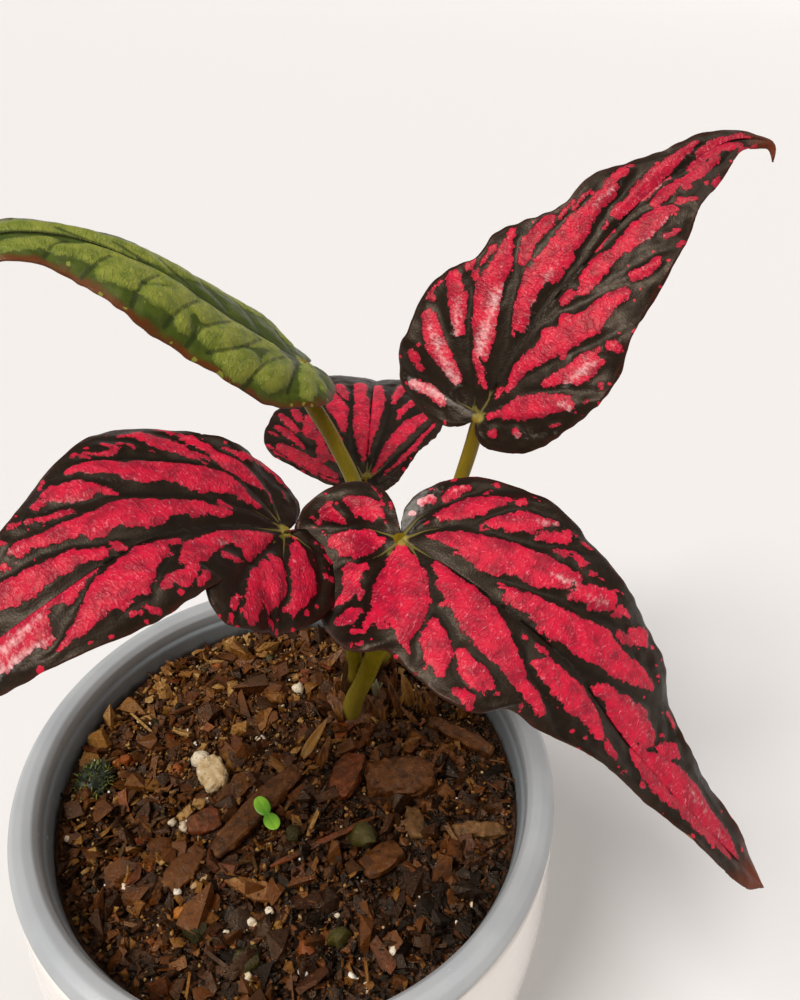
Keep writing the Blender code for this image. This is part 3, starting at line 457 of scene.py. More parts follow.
            ((537, 647), (545, 651), 0.8, 0.9), ((622, 771), (625, 772), 0.5, 0.4),
            ((584, 739), (586, 739), 0.4, 0.4), ((632, 752), (645, 770), 1.0, 2.0),
            ((645, 770), (658, 786), 2.2, 2.2), ((658, 786), (668, 798), 2.0, 1.6),
            ((640, 782), (643, 784), 0.6, 0.7), ((676, 800), (694, 820), 1.6, 2.0),
            ((694, 820), (712, 838), 2.0, 1.6), ((712, 838), (728, 855), 1.5, 0.9)],
        veins=[[(400, 538), (380, 531), (345, 525), (308, 525)],
               [(398, 541), (378, 555), (355, 562), (333, 568)],
               [(397, 545), (378, 570), (367, 595), (366, 610), (345, 640)],
               [(412, 550), (428, 575), (434, 600), (431, 615), (418, 640), (417, 660)],
               [(434, 604), (452, 632), (456, 648), (464, 690)],
               [(524, 634), (526, 655), (538, 680), (549, 706), (566, 740)]]),
    ("left", -1): Half(
        blotches=[
            ((260, 509), (248, 498), 0.6, 1.1), ((248, 498), (235, 489), 1.3, 1.8),
            ((235, 489), (218, 482), 1.9, 2.8), ((218, 482), (200, 479), 2.9, 3.7),
            ((200, 479), (180, 474), 3.8, 3.4), ((180, 474), (160, 472), 3.2, 2.7),
            ((160, 472), (142, 474), 2.8, 3.5), ((142, 474), (130, 471), 3.3, 2.6),
            ((130, 471), (110, 467), 2.4, 2.0), ((110, 467), (90, 469), 2.0, 2.1),
            ((90, 469), (70, 471), 2.0, 0.9), ((260, 487), (248, 477), 1.2, 1.9),
            ((248, 477), (232, 466), 2.0, 2.2), ((232, 466), (215, 454), 2.1, 1.3),
            ((213, 453), (205, 448), 1.1, 1.2), ((205, 448), (190, 441), 1.2, 1.3),
            ((190, 441), (175, 435), 1.1, 0.6), ((171, 433), (158, 430), 0.6, 0.7),
            ((224, 447), (240, 455), 0.6, 1.0), ((240, 455), (258, 465), 1.2, 0.6),
            ((256, 458), (265, 466), 0.8, 1.2), ((265, 466), (275, 477), 1.4, 1.1),
            ((275, 477), (284, 487), 1.0, 0.5), ((268, 494), (272, 504), 0.8, 0.6),
            ((283, 494), (284, 499), 0.4, 0.4), ((294, 500), (296, 503), 0.3, 0.3),
            ((229, 512), (218, 513), 0.8, 1.6), ((218, 513), (203, 509), 1.6, 1.7),
            ((203, 509), (190, 509), 2.0, 2.4), ((190, 509), (170, 506), 2.2, 2.0),
            ((170, 506), (150, 512), 2.2, 3.4), ((150, 512), (128, 514), 3.6, 3.6),
            ((128, 514), (112, 514), 3.4, 2.6), ((112, 516), (98, 522), 2.4, 3.2),
            ((98, 522), (84, 526), 3.2, 2.5), ((84, 526), (66, 532), 2.4, 1.9),
            ((66, 532), (48, 538), 1.9, 1.7), ((48, 538), (32, 543), 1.6, 1.4),
            ((32, 545), (20, 551), 1.4, 1.7), ((20, 551), (12, 551), 1.6, 1.0),
            ((219, 502), (224, 504), 0.6, 0.7), ((228, 506), (231, 507), 0.4, 0.4),
            ((201, 458), (206, 464), 0.8, 0.6), ((190, 455), (175, 450), 0.9, 1.7),
            ((175, 450), (155, 443), 1.9, 2.0), ((155, 443), (138, 436), 1.8, 1.3),
            ((134, 437), (120, 436), 0.9, 0.8), ((104, 447), (114, 448), 0.9, 1.1),
            ((100, 454), (114, 453), 0.6, 1.1), ((84, 453), (100, 454), 0.4, 0.5),
            ((120, 445), (128, 446), 0.6, 0.5), ((132, 448), (135, 449), 0.5, 0.4),
            ((151, 453), (154, 454), 0.5, 0.5), ((72, 457), (76, 457), 0.4, 0.4),
            ((82, 456), (89, 457), 0.5, 0.5), ((98, 489), (88, 490), 0.8, 1.8),
            ((88, 490), (72, 494), 2.0, 2.6), ((72, 494), (55, 494), 2.5, 2.1),
            ((55, 494), (45, 496), 1.6, 1.2), ((50, 500), (40, 502), 0.9, 1.0),
            ((106, 489), (115, 493), 0.9, 0.8), ((42, 482), (39, 489), 0.5, 0.6),
            ((34, 508), (38, 509), 0.8, 0.6), ((70, 514), (50, 517), 0.9, 0.9),
            ((50, 517), (25, 522), 0.8, 0.7), ((25, 522), (8, 526), 0.7, 0.6),
            ((12, 529), (28, 529), 0.3, 0.3), ((43, 527), (45, 527), 0.4, 0.4),
            ((3, 544), (7, 545), 0.6, 0.6), ((105, 552), (92, 552), 1.3, 1.4),
            ((92, 555), (72, 560), 1.4, 1.9), ((72, 560), (52, 571), 2.0, 2.4),
            ((52, 571), (35, 580), 2.4, 2.6), ((35, 580), (20, 589), 2.7, 3.0),
            ((20, 589), (0, 598), 3.0, 2.9), ((0, 598), (-22, 615), 2.8, 2.2),
            ((-22, 615), (-42, 640), 2.0, 1.3), ((-42, 640), (-66, 676), 1.3, 0.9),
            ((3, 568), (8, 569), 0.9, 0.8), ((-4, 575), (-30, 598), 0.8, 1.0),
            ((113, 543), (124, 547), 0.9, 0.9)],
        veins=[[(279, 521), (262, 500), (235, 474), (208, 462), (180, 459), (120, 456), (80, 459)],
               [(281, 519), (268, 488), (250, 466), (225, 449), (200, 441)],
               [(277, 525), (255, 509), (230, 503), (205, 497), (140, 494), (100, 499), (50, 512)],
               [(180, 529), (130, 536), (95, 543), (55, 550), (20, 562), (-8, 580)]],
        painted_sheen=(((76, 477), (122, 482), 0.9, 1.1), ((58, 500), (97, 502), 1.0, 0.8),
               ((12, 553), (40, 548), 0.9, 0.8), ((10, 520), (60, 508), 0.9, 0.7))),
    ("left", 1): Half(
        blotches=[
            ((72, 588), (66, 597), 1.4, 1.6), ((97, 568), (82, 577), 0.5, 0.8),
            ((82, 577), (70, 592), 0.9, 2.0), ((70, 592), (50, 602), 1.8, 1.5),
            ((50, 602), (33, 611), 1.3, 1.6), ((40, 616), (45, 640), 2.0, 1.5),
            ((33, 618), (22, 640), 2.0, 3.6), ((22, 640), (8, 652), 3.8, 3.4),
            ((8, 652), (-14, 668), 3.2, 2.4), ((-14, 668), (-40, 696), 2.2, 1.4),
            ((-40, 696), (-62, 722), 1.3, 0.8), ((12, 624), (0, 640), 1.0, 1.5),
            ((178, 541), (160, 545), 0.9, 1.5), ((172, 555), (160, 552), 0.7, 1.2),
            ((160, 547), (145, 555), 1.6, 3.0), ((145, 558), (142, 585), 3.2, 2.0),
            ((145, 558), (128, 575), 3.0, 4.0), ((128, 575), (110, 590), 4.0, 4.0),
            ((112, 588), (102, 600), 3.6, 2.8), ((102, 600), (88, 618), 2.6, 2.0),
            ((88, 618), (70, 638), 1.9, 1.2), ((70, 638), (58, 650), 1.0, 0.5),
            ((124, 609), (133, 602), 0.6, 0.6),
            ((131, 614), (132, 614), 0.5, 0.5), ((145, 605), (158, 610), 0.6, 0.8),
            ((140, 612), (141, 613), 0.5, 0.5), ((170, 580), (185, 577), 1.3, 2.1),
            ((185, 577), (195, 568), 1.8, 1.3), ((163, 588), (170, 588), 0.8, 0.7),
            ((272, 535), (262, 539), 0.9, 2.0), ((262, 539), (250, 543), 2.2, 3.4),
            ((250, 545), (247, 557), 2.4, 1.3), ((250, 543), (238, 539), 3.2, 2.6),
            ((238, 539), (225, 537), 2.4, 1.9), ((225, 537), (211, 542), 1.9, 2.2),
            ((211, 542), (196, 552), 2.3, 3.0), ((196, 552), (186, 560), 2.8, 1.8),
            ((222, 556), (238, 562), 0.8, 0.9), ((198, 585), (206, 577), 0.8, 1.0),
            ((270, 556), (277, 566), 0.8, 2.0), ((277, 566), (279, 585), 2.2, 2.4),
            ((279, 585), (275, 605), 2.4, 1.4), ((266, 565), (268, 580), 1.6, 3.0),
            ((268, 580), (266, 600), 3.2, 3.0), ((266, 600), (266, 612), 2.6, 1.2),
            ((256, 575), (255, 595), 1.8, 2.6), ((255, 595), (250, 615), 2.6, 2.0),
            ((298, 543), (298, 552), 0.8, 1.7), ((298, 552), (302, 570), 2.2, 3.0),
            ((302, 570), (305, 585), 3.1, 3.2), ((305, 585), (299, 600), 3.0, 2.0),
            ((299, 600), (293, 610), 1.7, 1.3), ((293, 610), (291, 617), 1.0, 0.5),
            ((286, 609), (292, 606), 0.7, 0.8), ((290, 535), (297, 539), 0.4, 0.6),
            ((316, 544), (322, 549), 0.5, 0.7), ((322, 549), (328, 554), 0.7, 0.5),
            ((325, 557), (334, 564), 0.7, 0.9), ((325, 569), (329, 570), 0.5, 0.4),
            ((326, 576), (331, 581), 0.9, 0.9), ((277, 620), (278, 620), 0.4, 0.4),
            ((268, 622), (272, 626), 0.9, 0.9), ((236, 595), (234, 605), 0.9, 1.1),
            ((233, 615), (234, 620), 0.7, 0.6)],
        veins=[[(281, 534), (262, 553), (246, 568), (236, 600), (240, 622)],
               [(284, 536), (285, 560), (286, 592), (281, 618)],
               [(290, 534), (311, 547), (321, 572), (317, 602)],
               [(214, 533), (188, 546), (168, 562), (158, 580), (150, 600)],
               [(118, 562), (96, 576), (78, 600), (64, 622), (50, 646)]],
        painted_sheen=(((0, 656), (40, 618), 2.4, 1.6), ((0, 674), (46, 640), 2.4, 1.4),
               ((-40, 700), (0, 656), 2.0, 2.4), ((210, 544), (240, 542), 0.8, 0.8))),
    ("back", 1): Half(
        blotches=[
            ((277, 426), (288, 435), 1.0, 1.7), ((288, 435), (305, 448), 1.6, 0.7),
            ((280, 446), (295, 455), 1.4, 2.3), ((295, 455), (315, 465), 2.4, 2.0),
            ((315, 465), (335, 475), 1.9, 1.0), ((270, 432), (278, 436), 0.6, 0.5),
            ((268, 445), (273, 448), 0.7, 0.5), ((275, 452), (300, 465), 0.4, 0.5),
            ((300, 465), (338, 482), 0.4, 0.4), ((294, 412), (298, 417), 1.3, 1.7),
            ((298, 420), (303, 422), 1.1, 0.8), ((280, 416), (287, 422), 0.8, 1.5),
            ((287, 422), (296, 430), 1.5, 0.8), ((306, 418), (310, 432), 1.2, 2.4),
            ((310, 432), (318, 440), 2.5, 1.6), ((322, 445), (324, 456), 1.4, 2.2),
            ((330, 458), (337, 463), 0.9, 0.6), ((332, 428), (340, 440), 0.9, 1.4),
            ((340, 440), (344, 450), 1.1, 0.5), ((332, 392), (334, 400), 1.1, 2.3),
            ((334, 400), (337, 408), 2.5, 3.5), ((337, 408), (341, 420), 3.3, 2.1),
            ((341, 420), (343, 429), 1.7, 1.1), ((340, 387), (344, 393), 1.6, 2.0),
            ((344, 393), (346, 398), 1.6, 0.9), ((361, 386), (359, 396), 2.4, 1.8),
            ((363, 400), (361, 418), 2.6, 2.7), ((361, 418), (361, 436), 2.7, 2.4),
            ((361, 436), (362, 452), 2.1, 1.5), ((363, 459), (364, 459), 0.8, 0.8)],
        veins=[[(363, 477), (352, 450), (350, 420), (351, 388)],
               [(361, 478), (340, 463), (315, 450), (298, 437), (276, 417)],
               [(360, 479), (325, 472), (290, 457), (266, 441)]]),
    ("back", -1): Half(
        blotches=[
            ((376, 388), (377, 400), 2.6, 2.6), ((377, 400), (375, 415), 2.6, 2.2),
            ((375, 415), (373, 430), 2.2, 1.8), ((373, 430), (369, 445), 1.6, 0.9),
            ((369, 445), (367, 454), 0.7, 0.5), ((403, 387), (397, 396), 1.8, 1.7),
            ((397, 396), (394, 402), 1.5, 0.9), ((415, 402), (402, 412), 1.4, 1.3),
            ((402, 412), (398, 418), 1.2, 0.7), ((424, 416), (410, 425), 1.7, 2.4),
            ((410, 425), (398, 437), 2.6, 2.5), ((398, 437), (388, 451), 2.4, 1.8),
            ((388, 451), (380, 463), 1.6, 1.1), ((380, 463), (373, 473), 1.0, 0.5),
            ((434, 425), (424, 436), 0.6, 0.8), ((424, 436), (412, 450), 0.8, 1.2),
            ((412, 450), (398, 463), 1.0, 0.7), ((398, 463), (386, 472), 0.5, 0.4),
            ((392, 468), (378, 480), 0.3, 0.3)],
        veins=[[(367, 477), (376, 450), (387, 427), (392, 400), (394, 386)],
               [(370, 477), (390, 461), (410, 444), (430, 426)]]),
    ("green", 1): Half(
        blotches=[
            ((310, 368), (308, 383), 1.5, 2.1), ((308, 383), (306, 393), 1.8, 1.0),
            ((285, 360), (278, 368), 2.0, 3.2), ((278, 368), (268, 379), 3.2, 2.2),
            ((250, 360), (235, 363), 2.0, 2.9), ((235, 363), (226, 360), 2.5, 1.3),
            ((224, 344), (212, 337), 1.6, 1.8), ((205, 312), (222, 323), 3.0, 3.6),
            ((222, 325), (245, 334), 3.6, 2.6), ((245, 334), (275, 347), 2.2, 1.0),
            ((190, 297), (175, 301), 1.8, 2.8), ((175, 301), (155, 296), 2.8, 1.7),
            ((183, 312), (184, 325), 0.9, 0.9), ((182, 286), (150, 273), 1.2, 2.3),
            ((150, 273), (120, 261), 2.5, 2.6), ((120, 261), (95, 251), 2.4, 2.0),
            ((130, 280), (112, 274), 1.6, 1.7), ((104, 273), (105, 274), 1.0, 1.0),
            ((62, 248), (78, 250), 1.4, 1.3), ((12, 245), (48, 243), 1.2, 1.3),
            ((85, 252), (100, 259), 1.6, 1.5), ((-10, 250), (-34, 262), 1.5, 1.6),
            ((-46, 272), (-66, 292), 1.3, 1.2), ((320, 383), (322, 388), 0.8, 0.6)],
        veins=[[(299, 360), (293, 375), (288, 393)], [(290, 354), (262, 365), (242, 388)],
               [(262, 340), (235, 349), (208, 352)], [(232, 322), (198, 330), (186, 345)],
               [(196, 300), (178, 312), (165, 325)], [(158, 276), (142, 284), (132, 305)],
               [(112, 256), (96, 264), (84, 276)], [(66, 240), (52, 246), (44, 256)]]),
    ("green", -1): Half(
        blotches=[
            ((290, 340), (270, 322), 1.2, 1.5), ((262, 316), (240, 302), 1.3, 1.6),
            ((232, 298), (205, 283), 1.4, 1.7), ((195, 278), (165, 263), 1.4, 1.8),
            ((155, 258), (120, 245), 1.6, 2.0), ((110, 242), (60, 230), 2.0, 2.2),
            ((50, 229), (0, 229), 2.2, 2.2)],
        veins=[[(292, 352), (272, 325), (262, 314)], [(262, 334), (240, 306), (232, 296)],
               [(228, 310), (204, 285), (196, 277)], [(190, 285), (165, 265), (158, 258)],
               [(150, 264), (125, 250), (112, 243)], [(96, 245), (70, 234), (55, 228)]]),
}


@dataclass
class Chip:
    """A loose piece bedded in the mix: middle, size, turn about Z, tilt about its long side."""
    place: tuple
    size: tuple
    turn: float
    tilt: float


CHIPS = {
    "bark_stick_long": Chip((-8.1, -8.0, 113.2), (33, 7.0, 4.2), 55.5, 8),
    "bark_chip_red": Chip((-21.6, -12.0, 113.0), (9, 6.5, 2.6), 20, 12),
    "bark_chip_dark": Chip((-23.7, -24.6, 112.6), (13, 7, 3.0), 60, 6),
    "bark_slab_red": Chip((14.6, 3.6, 113.4), (15, 9, 3.2), 70, -14),
    "bark_lump": Chip((29.5, 3.4, 113.6), (20, 12.5, 7.5), 8, 4),
    "bark_chip_pointed": Chip((25.5, -19.8, 112.8), (12, 8.5, 2.6), 35, -16),
    "chip_grey": Chip((33.8, -9.7, 113.2), (9.5, 5, 2.4), 100, 14),
    "stick_tan": Chip((50.6, -11.0, 113.0), (15, 4.2, 3.4), 2, 10),
    "stick_back": Chip((46.8, 18.7, 113.0), (23, 5, 3.2), -30, 8),
    "twig": Chip((10.3, -16.2, 113.2), (30, 1.5, 1.5), 30.2, 0),
    "perlite_chunk": Chip((-22.4, 2.3, 113.2), (11.5, 7.5, 5.0), -62, 5),
}

# Grains that stand out in the photograph: pixel, and size in mm
PERLITE_GRAINS = [
    (69, 840, 2.2), (91, 801, 1.8), (172, 823, 2.4), (183, 827, 3.0), (187, 822, 1.6),
    (178, 895, 2.0), (127, 889, 2.6), (207, 802, 1.8), (201, 761, 5.0), (226, 934, 1.8),
    (251, 920, 2.4), (256, 924, 1.6), (269, 912, 2.2), (247, 979, 2.4), (281, 707, 1.8),
    (262, 740, 3.0), (303, 974, 2.2), (351, 978, 2.6), (367, 988, 2.0), (337, 917, 1.6),
    (345, 937, 1.8), (360, 905, 1.8), (372, 874, 2.0), (393, 954, 2.2), (416, 929, 1.6),
    (419, 897, 1.6), (438, 866, 1.8), (474, 906, 2.0), (479, 904, 1.6), (298, 690, 4.0)]
OLIVE_GRAINS = [(197, 935, 5.0), (248, 963, 5.6), (231, 762, 2.6), (203, 672, 3.0),
                (180, 710, 3.0), (403, 926, 2.8), (426, 907, 2.4), (270, 660, 3.0),
                (362, 838, 8.0), (340, 938, 5.0), (155, 724, 3.0), (293, 837, 4.6)]
AMBER_GRAINS = [(126, 761, 3.8), (217, 668, 3.0), (178, 771, 3.0), (370, 934, 2.2),
                (182, 914, 3.6), (306, 952, 4.4), (150, 868, 2.2), (118, 764, 2.6)]

# The same grains by piece: material, slot, angle up to which edges are smooth, grains, tones
PLACED = {
    "perlite_grains": ("perlite", "perlite", 180, PERLITE_GRAINS, (0.6, 1.0)),
    "olive_grains": ("olive", "growing_mix", 50, OLIVE_GRAINS, (-0.1, 0.5)),
    "amber_grains": ("amber", "growing_mix", 50, AMBER_GRAINS, (0.2, 0.8)),
}


@dataclass
class Throw:
    """One throw of crumbs, strewn over the mix by chance."""
    count: int
    sizes: tuple            # mm
    lean: float             # how far they tip over, in radians
    sink: tuple             # how high their middles lie, in half sizes
    tones: tuple


# Crumbs that are strewn, by piece: material, slot, angle up to which edges are smooth, throws
STREWN = {
    "mix_lumps": ("mix", "growing_mix", 30, [
        Throw(800, (2.6, 7.5), 1.5, (-0.4, 0.5), (0.0, 0.7)),
        Throw(3200, (1.2, 3.0), 1.5, (-0.2, 1.0), (0.0, 0.9))]),
    "mix_grains": ("mix", "growing_mix", 180, [
        Throw(6500, (0.4, 1.4), 1.5, (0.0, 2.2), (0.0, 1.1))]),
    "mix_chaff": ("mix", "growing_mix", 40, [
        Throw(700, (1.2, 5.0), 1.0, (0.0, 1.0), (0.0, 0.9))]),
    "mix_threads": ("mix", "growing_mix", 40, [
        Throw(450, (0.8, 3.0), 0.8, (0.2, 1.6), (0.0, 0.9))]),
    "mix_flakes": ("bark_red", "bark_red", 40, [
        Throw(200, (1.4, 5.5), 0.9, (0.2, 0.9), (0.0, 0.7))]),
    "mix_fibres": ("wood_tan", "wood_tan", 40, [
        Throw(130, (1.0, 3.2), 0.7, (0.5, 1.4), (0.0, 0.9))]),
    "perlite_dust": ("perlite", "perlite", 180, [
        Throw(320, (0.5, 1.1), 1.5, (0.8, 2.2), (0.1, 1.2))]),
}

# Shapes that the crumbs of each piece are copied from, and how many different ones
CRUMB_SHAPES = {
    "mix_lumps": ("lump", 12), "mix_chaff": ("flake", 6), "mix_flakes": ("flake", 6),
    "mix_threads": ("splinter", 6), "mix_fibres": ("splinter", 6), "mix_grains": ("grain", 5),
    "perlite_dust": ("grain", 5), "perlite_grains": ("bead", 4), "olive_grains": ("bead", 4),
    "amber_grains": ("bead", 4),
}


@dataclass
class Sliver:
    """A flat or drawn-out piece, from one pixel of the photograph to another."""
    start: tuple
    end: tuple
    width: float            # mm
    tone: float


# Slivers that lie on the mix, by material
LAID = {
    "amber": [Sliver((115, 862), (153, 873), 1.3, 0.5), Sliver((338, 742), (346, 716), 3.4, 0.3)],
    "wood_tan": [Sliver((192, 892), (209, 879), 1.2, 1.0), Sliver((170, 858), (205, 866), 1.0, 0.6),
                 Sliver((330, 705), (352, 690), 2.2, 0.3), Sliver((320, 668), (340, 652), 2.4, 0.5)],
    "bark_dark": [Sliver((227, 880), (279, 901), 4.0, 0.8), Sliver((219, 806), (254, 776), 6.6, 0.5),
                  Sliver((450, 742), (432, 775), 3.6, 0.6), Sliver((140, 905), (160, 880), 4.6, 0.4)],
}
# Dry stipules that stand or hang round the crown: lowest and highest pixel
STIPULES = [
    Sliver((378, 699), (371, 668), 2.4, 1.0), Sliver((412, 706), (402, 674), 3.8, 0.7),
    Sliver((398, 690), (392, 652), 1.2, 0.5), Sliver((424, 712), (414, 684), 1.8, 0.6),
    Sliver((388, 704), (396, 668), 2.6, 0.3), Sliver((402, 716), (386, 676), 2.2, 0.2),
    Sliver((436, 716), (424, 690), 2.0, 0.4), Sliver((392, 716), (406, 690), 1.6, 0.8),
    Sliver((352, 712), (340, 690), 2.6, 0.3), Sliver((342, 722), (333, 700), 2.2, 0.6),
    Sliver((374, 716), (366, 694), 2.4, 0.2), Sliver((384, 722), (380, 700), 2.0, 0.4),
    Sliver((322, 668), (344, 648), 2.4, 0.6), Sliver((420, 724), (400, 706), 1.4, 0.5),
    Sliver((301, 757), (327, 719), 2.8, 0.88), Sliver((318, 768), (330, 736), 2.6, 0.4)]


# Camera

def camera_axes():
    """Right, up and forward of the photograph's camera"""
    down, roll = math.radians(LOOK_DOWN), math.radians(ROLL)
    forward = Vector((0, math.cos(down), -math.sin(down)))
    level = Vector((1, 0, 0))
    upright = level.cross(forward)
    right = level * math.cos(roll) + upright * math.sin(roll)
    up = upright * math.cos(roll) - level * math.sin(roll)
    return right, up, forward


def photo_pixels(points):
    """Where points show in the photograph, in its pixels"""
    right, up, forward = (np.array(axis) for axis in camera_axes())
    ray = np.asarray(points) - np.array(EYE)
    depth = ray @ forward
    return np.stack([PHOTO_SIZE[0] / 2 + FOCAL_PIXELS * (ray @ right) / depth,
                     PHOTO_SIZE[1] / 2 - FOCAL_PIXELS * (ray @ up) / depth], axis=-1)


def pixel_place(x, y, axis, level):
    """Place that shows at a pixel of the photograph, where one coordinate has a given value"""
    right, up, forward = camera_axes()
    ray = forward * FOCAL_PIXELS + right * (x - PHOTO_SIZE[0] / 2) + up * (PHOTO_SIZE[1] / 2 - y)
    return Vector(EYE) + ray * ((level - EYE[axis]) / ray[axis])


def make_camera():
    right, up, forward = camera_axes()
    data = bpy.data.cameras.new("camera")
    data.sensor_width = 36
    data.lens = FOCAL_PIXELS * data.sensor_width / max(PHOTO_SIZE)
    data.clip_start = 0.01
    camera = bpy.data.objects.new("camera", data)
    bpy.context.scene.collection.objects.link(camera)
    turn = Matrix((right, up, -forward)).transposed()
    camera.matrix_world = Matrix.Translation(Vector(EYE) * MM) @ turn.to_4x4()
    bpy.context.scene.camera = camera


# Materials

def colour(code):
    """Linear colour of an sRGB hex value"""
    parts = [int(code[i:i + 2], 16) / 255 for i in (1, 3, 5)]
    return (*(c / 12.92 if c <= 0.04045 else ((c + 0.055) / 1.055) ** 2.4 for c in parts), 1)


def new_material(name):
    mat = bpy.data.materials.new(name)
    mat.use_nodes = True
    mat.node_tree.nodes.clear()
    return mat


def add_node(mat, kind, inputs, **settings):
    """Add a node. Each input, by name or number, is a value or another node's output."""
    node = mat.node_tree.nodes.new(kind)
    for key, value in settings.items():
        setattr(node, key, value)
    for key, value in inputs.items():
        if isinstance(value, bpy.types.NodeSocket):
            mat.node_tree.links.new(value, node.inputs[key])
        else:
            node.inputs[key].default_value = value
    return node.outputs


def paint(mat, tone, layers):
    """Lay colours over a tone. Each shows where its value goes from low to high, up to a share.
    Grains that a layer names last roughen its value, each by its own weight."""
    for value, low, high, share, over, *grains in layers:
        for grain, weight in grains:
            value = add_node(mat, MATHS, {0: grain, 1: weight, 2: value},
                             operation="MULTIPLY_ADD")[0]
        mask = add_node(mat, RANGE, {"Value": value, "From Min": low, "From Max": high,
                                     "To Max": share}, interpolation_type="SMOOTHSTEP")[0]
        tone = add_node(mat, MIX, {0: mask, 6: tone, 7: colour(over)}, data_type="RGBA")[2]
    return tone


def leaf_upper(name, tones, veined, lined, spread, margin):
    """Begonia leaf, upper side: a waxy skin of tiny domed cells, which gives a silky sheen. The
    pigment lies in wrinkled blotches with torn edges between the smooth, dark veins. Veined is
    how strongly the petiole's colour runs out along the veins, lined how dark the veins are
    where they cross a blotch, spread how far the blotches run past their strokes, and margin
    the width of the coloured rim."""
    mat = new_material(name)
    flat = add_node(mat, ATTRIBUTE, {}, attribute_name="flat")["Vector"]
    patch, painted_sheen, vein, edge, knot, tip = (
        add_node(mat, ATTRIBUTE, {}, attribute_name=word)["Fac"] for word in BLADE_VALUES)
    tear = add_node(mat, GRAIN, {"Vector": flat, "Scale": 1 / TEAR_SIZE, "Detail": 3,
                                 "Roughness": 0.62})[0]
    comb = add_node(mat, GRAIN, {"Vector": flat, "Scale": 1 / COMB_SIZE, "Detail": 1})[0]
    mottle = add_node(mat, GRAIN, {"Vector": flat, "Scale": 1 / MOTTLE_SIZE, "Detail": 3,
                                   "Roughness": 0.6})[0]
    brushed = add_node(mat, MAPPING, {"Vector": flat, "Scale": STROKE_STRETCH})[0]
    streak = add_node(mat, GRAIN, {"Vector": brushed, "Scale": 1 / STREAK_SIZE, "Detail": 2,
                                   "Roughness": 0.6})[0]
    cells = add_node(mat, CELLS, {"Vector": flat, "Scale": 1 / CELL_SIZE})["Distance"]
    speck = add_node(mat, CELLS, {"Vector": flat, "Scale": 1 / SPECK_SPACING},
                     voronoi_dimensions="2D")
    rare = add_node(mat, PARTS, {0: speck["Color"]})[0]
    crinkle = add_node(mat, GRAIN, {"Vector": brushed, "Scale": 1 / CRINKLE_SIZE, "Detail": 2,
                                    "Roughness": 0.6})[0]
    crinkle = add_node(mat, MATHS, {0: crinkle, 1: 0.5}, operation="SUBTRACT")[0]
    crinkle = add_node(mat, MATHS, {0: crinkle}, operation="ABSOLUTE")[0]

    # grains that break up the edges of the painted sheen
    sheen_grains = ((streak, 6.0), (mottle, 3.0))
    pigment = paint(mat, colour(tones["blotch"]), [
        (mottle, 0.38, 0.66, 0.9, tones["deep"]),
        # painted shade: the blotches turn deeper towards the tip, where the leaves face away from the
        # light
        (tip, 72.0, 14.0, 0.6, tones["deep"], (mottle, 24.0)),
        # painted sheen: pale strokes and creases on the blotches, laid in as highlights
        (streak, 0.56, 0.80, 0.3, tones["pale"]),
        (crinkle, 0.080, 0.045, 0.55, tones["pale"], (streak, 0.14)),
        (patch, 1.7, 0.5, 0.6, tones["deep"], (tear, 1.6)),
        # painted sheen: pale pink highlight laid into the blotches along the given strokes
        (painted_sheen, 4.7, 8.4, 0.8, tones["sheen_tone_on_blotch"], *sheen_grains)])
    ground = paint(mat, colour(tones["ground"]), [
        (mottle, 0.40, 0.70, 0.8, tones["light"]),
        # painted sheen: silver-grey highlight laid into the dark ground along the same strokes
        (painted_sheen, 5.2, 9.4, 0.6, tones["sheen_tone_on_ground"], *sheen_grains),
        (edge, margin + 2.2, margin, 0.85, tones["margin"], (mottle, 4.0)),
        (vein, 0.9, 0.3, 0.8, tones["groove"])])
    torn = patch
    for grain, weight in ((tear, 2.4), (comb, 0.6)):
        torn = add_node(mat, MATHS, {0: grain, 1: weight, 2: torn}, operation="MULTIPLY_ADD")[0]
    inside = add_node(mat, RANGE, {"Value": torn, "From Min": 1.68 - spread,
                                   "From Max": 1.82 - 0.3 * spread},
                      interpolation_type="SMOOTHSTEP")[0]
    tone = add_node(mat, MIX, {0: inside, 6: ground, 7: pigment}, data_type="RGBA")[2]
    dotted = ((rare, 0.7), (edge, 0.02), (tear, 0.7))
    tone = paint(mat, tone, [
        (speck["Distance"], 0.62, 0.54, 0.85, tones["blotch"], *dotted),
        (vein, 0.95, 0.45, lined, tones["groove"], (tear, 0.5)),
        (vein, 0.55, 0.25, veined, tones["knot"], (knot, 0.05)),
        (knot, 2.8, 1.7, 0.9, tones["knot"], (mottle, 2.0)),
        (tip, 17.0, 6.0, 0.9, tones["tip"], (mottle, 9.0))])

    rough = add_node(mat, RANGE, {"Value": streak, "To Min": 0.26, "To Max": 0.6})[0]
    crease = add_node(mat, RANGE, {"Value": crinkle, "From Max": 0.08})[0]
    wrinkle, height = 0.0, 0.0
    for grain, weight in ((crease, -0.10), (streak, 0.12), (tear, 0.16)):
        wrinkle = add_node(mat, MATHS, {0: grain, 1: weight, 2: wrinkle},
                           operation="MULTIPLY_ADD")[0]
    for grain, weight in ((wrinkle, inside), (tear, 0.05), (cells, 0.03)):
        height = add_node(mat, MATHS, {0: grain, 1: weight, 2: height},
                          operation="MULTIPLY_ADD")[0]
    relief = add_node(mat, BUMP, {"Height": height, "Distance": MM})[0]
    skin = add_node(mat, SURFACE, {
        "Base Color": tone, "Roughness": rough, "Normal": relief, "Specular IOR Level": 0.3,
        "Specular Tint": colour(WARM_SHEEN)})
    add_node(mat, OUTPUT, {"Surface": skin[0]})
    return mat


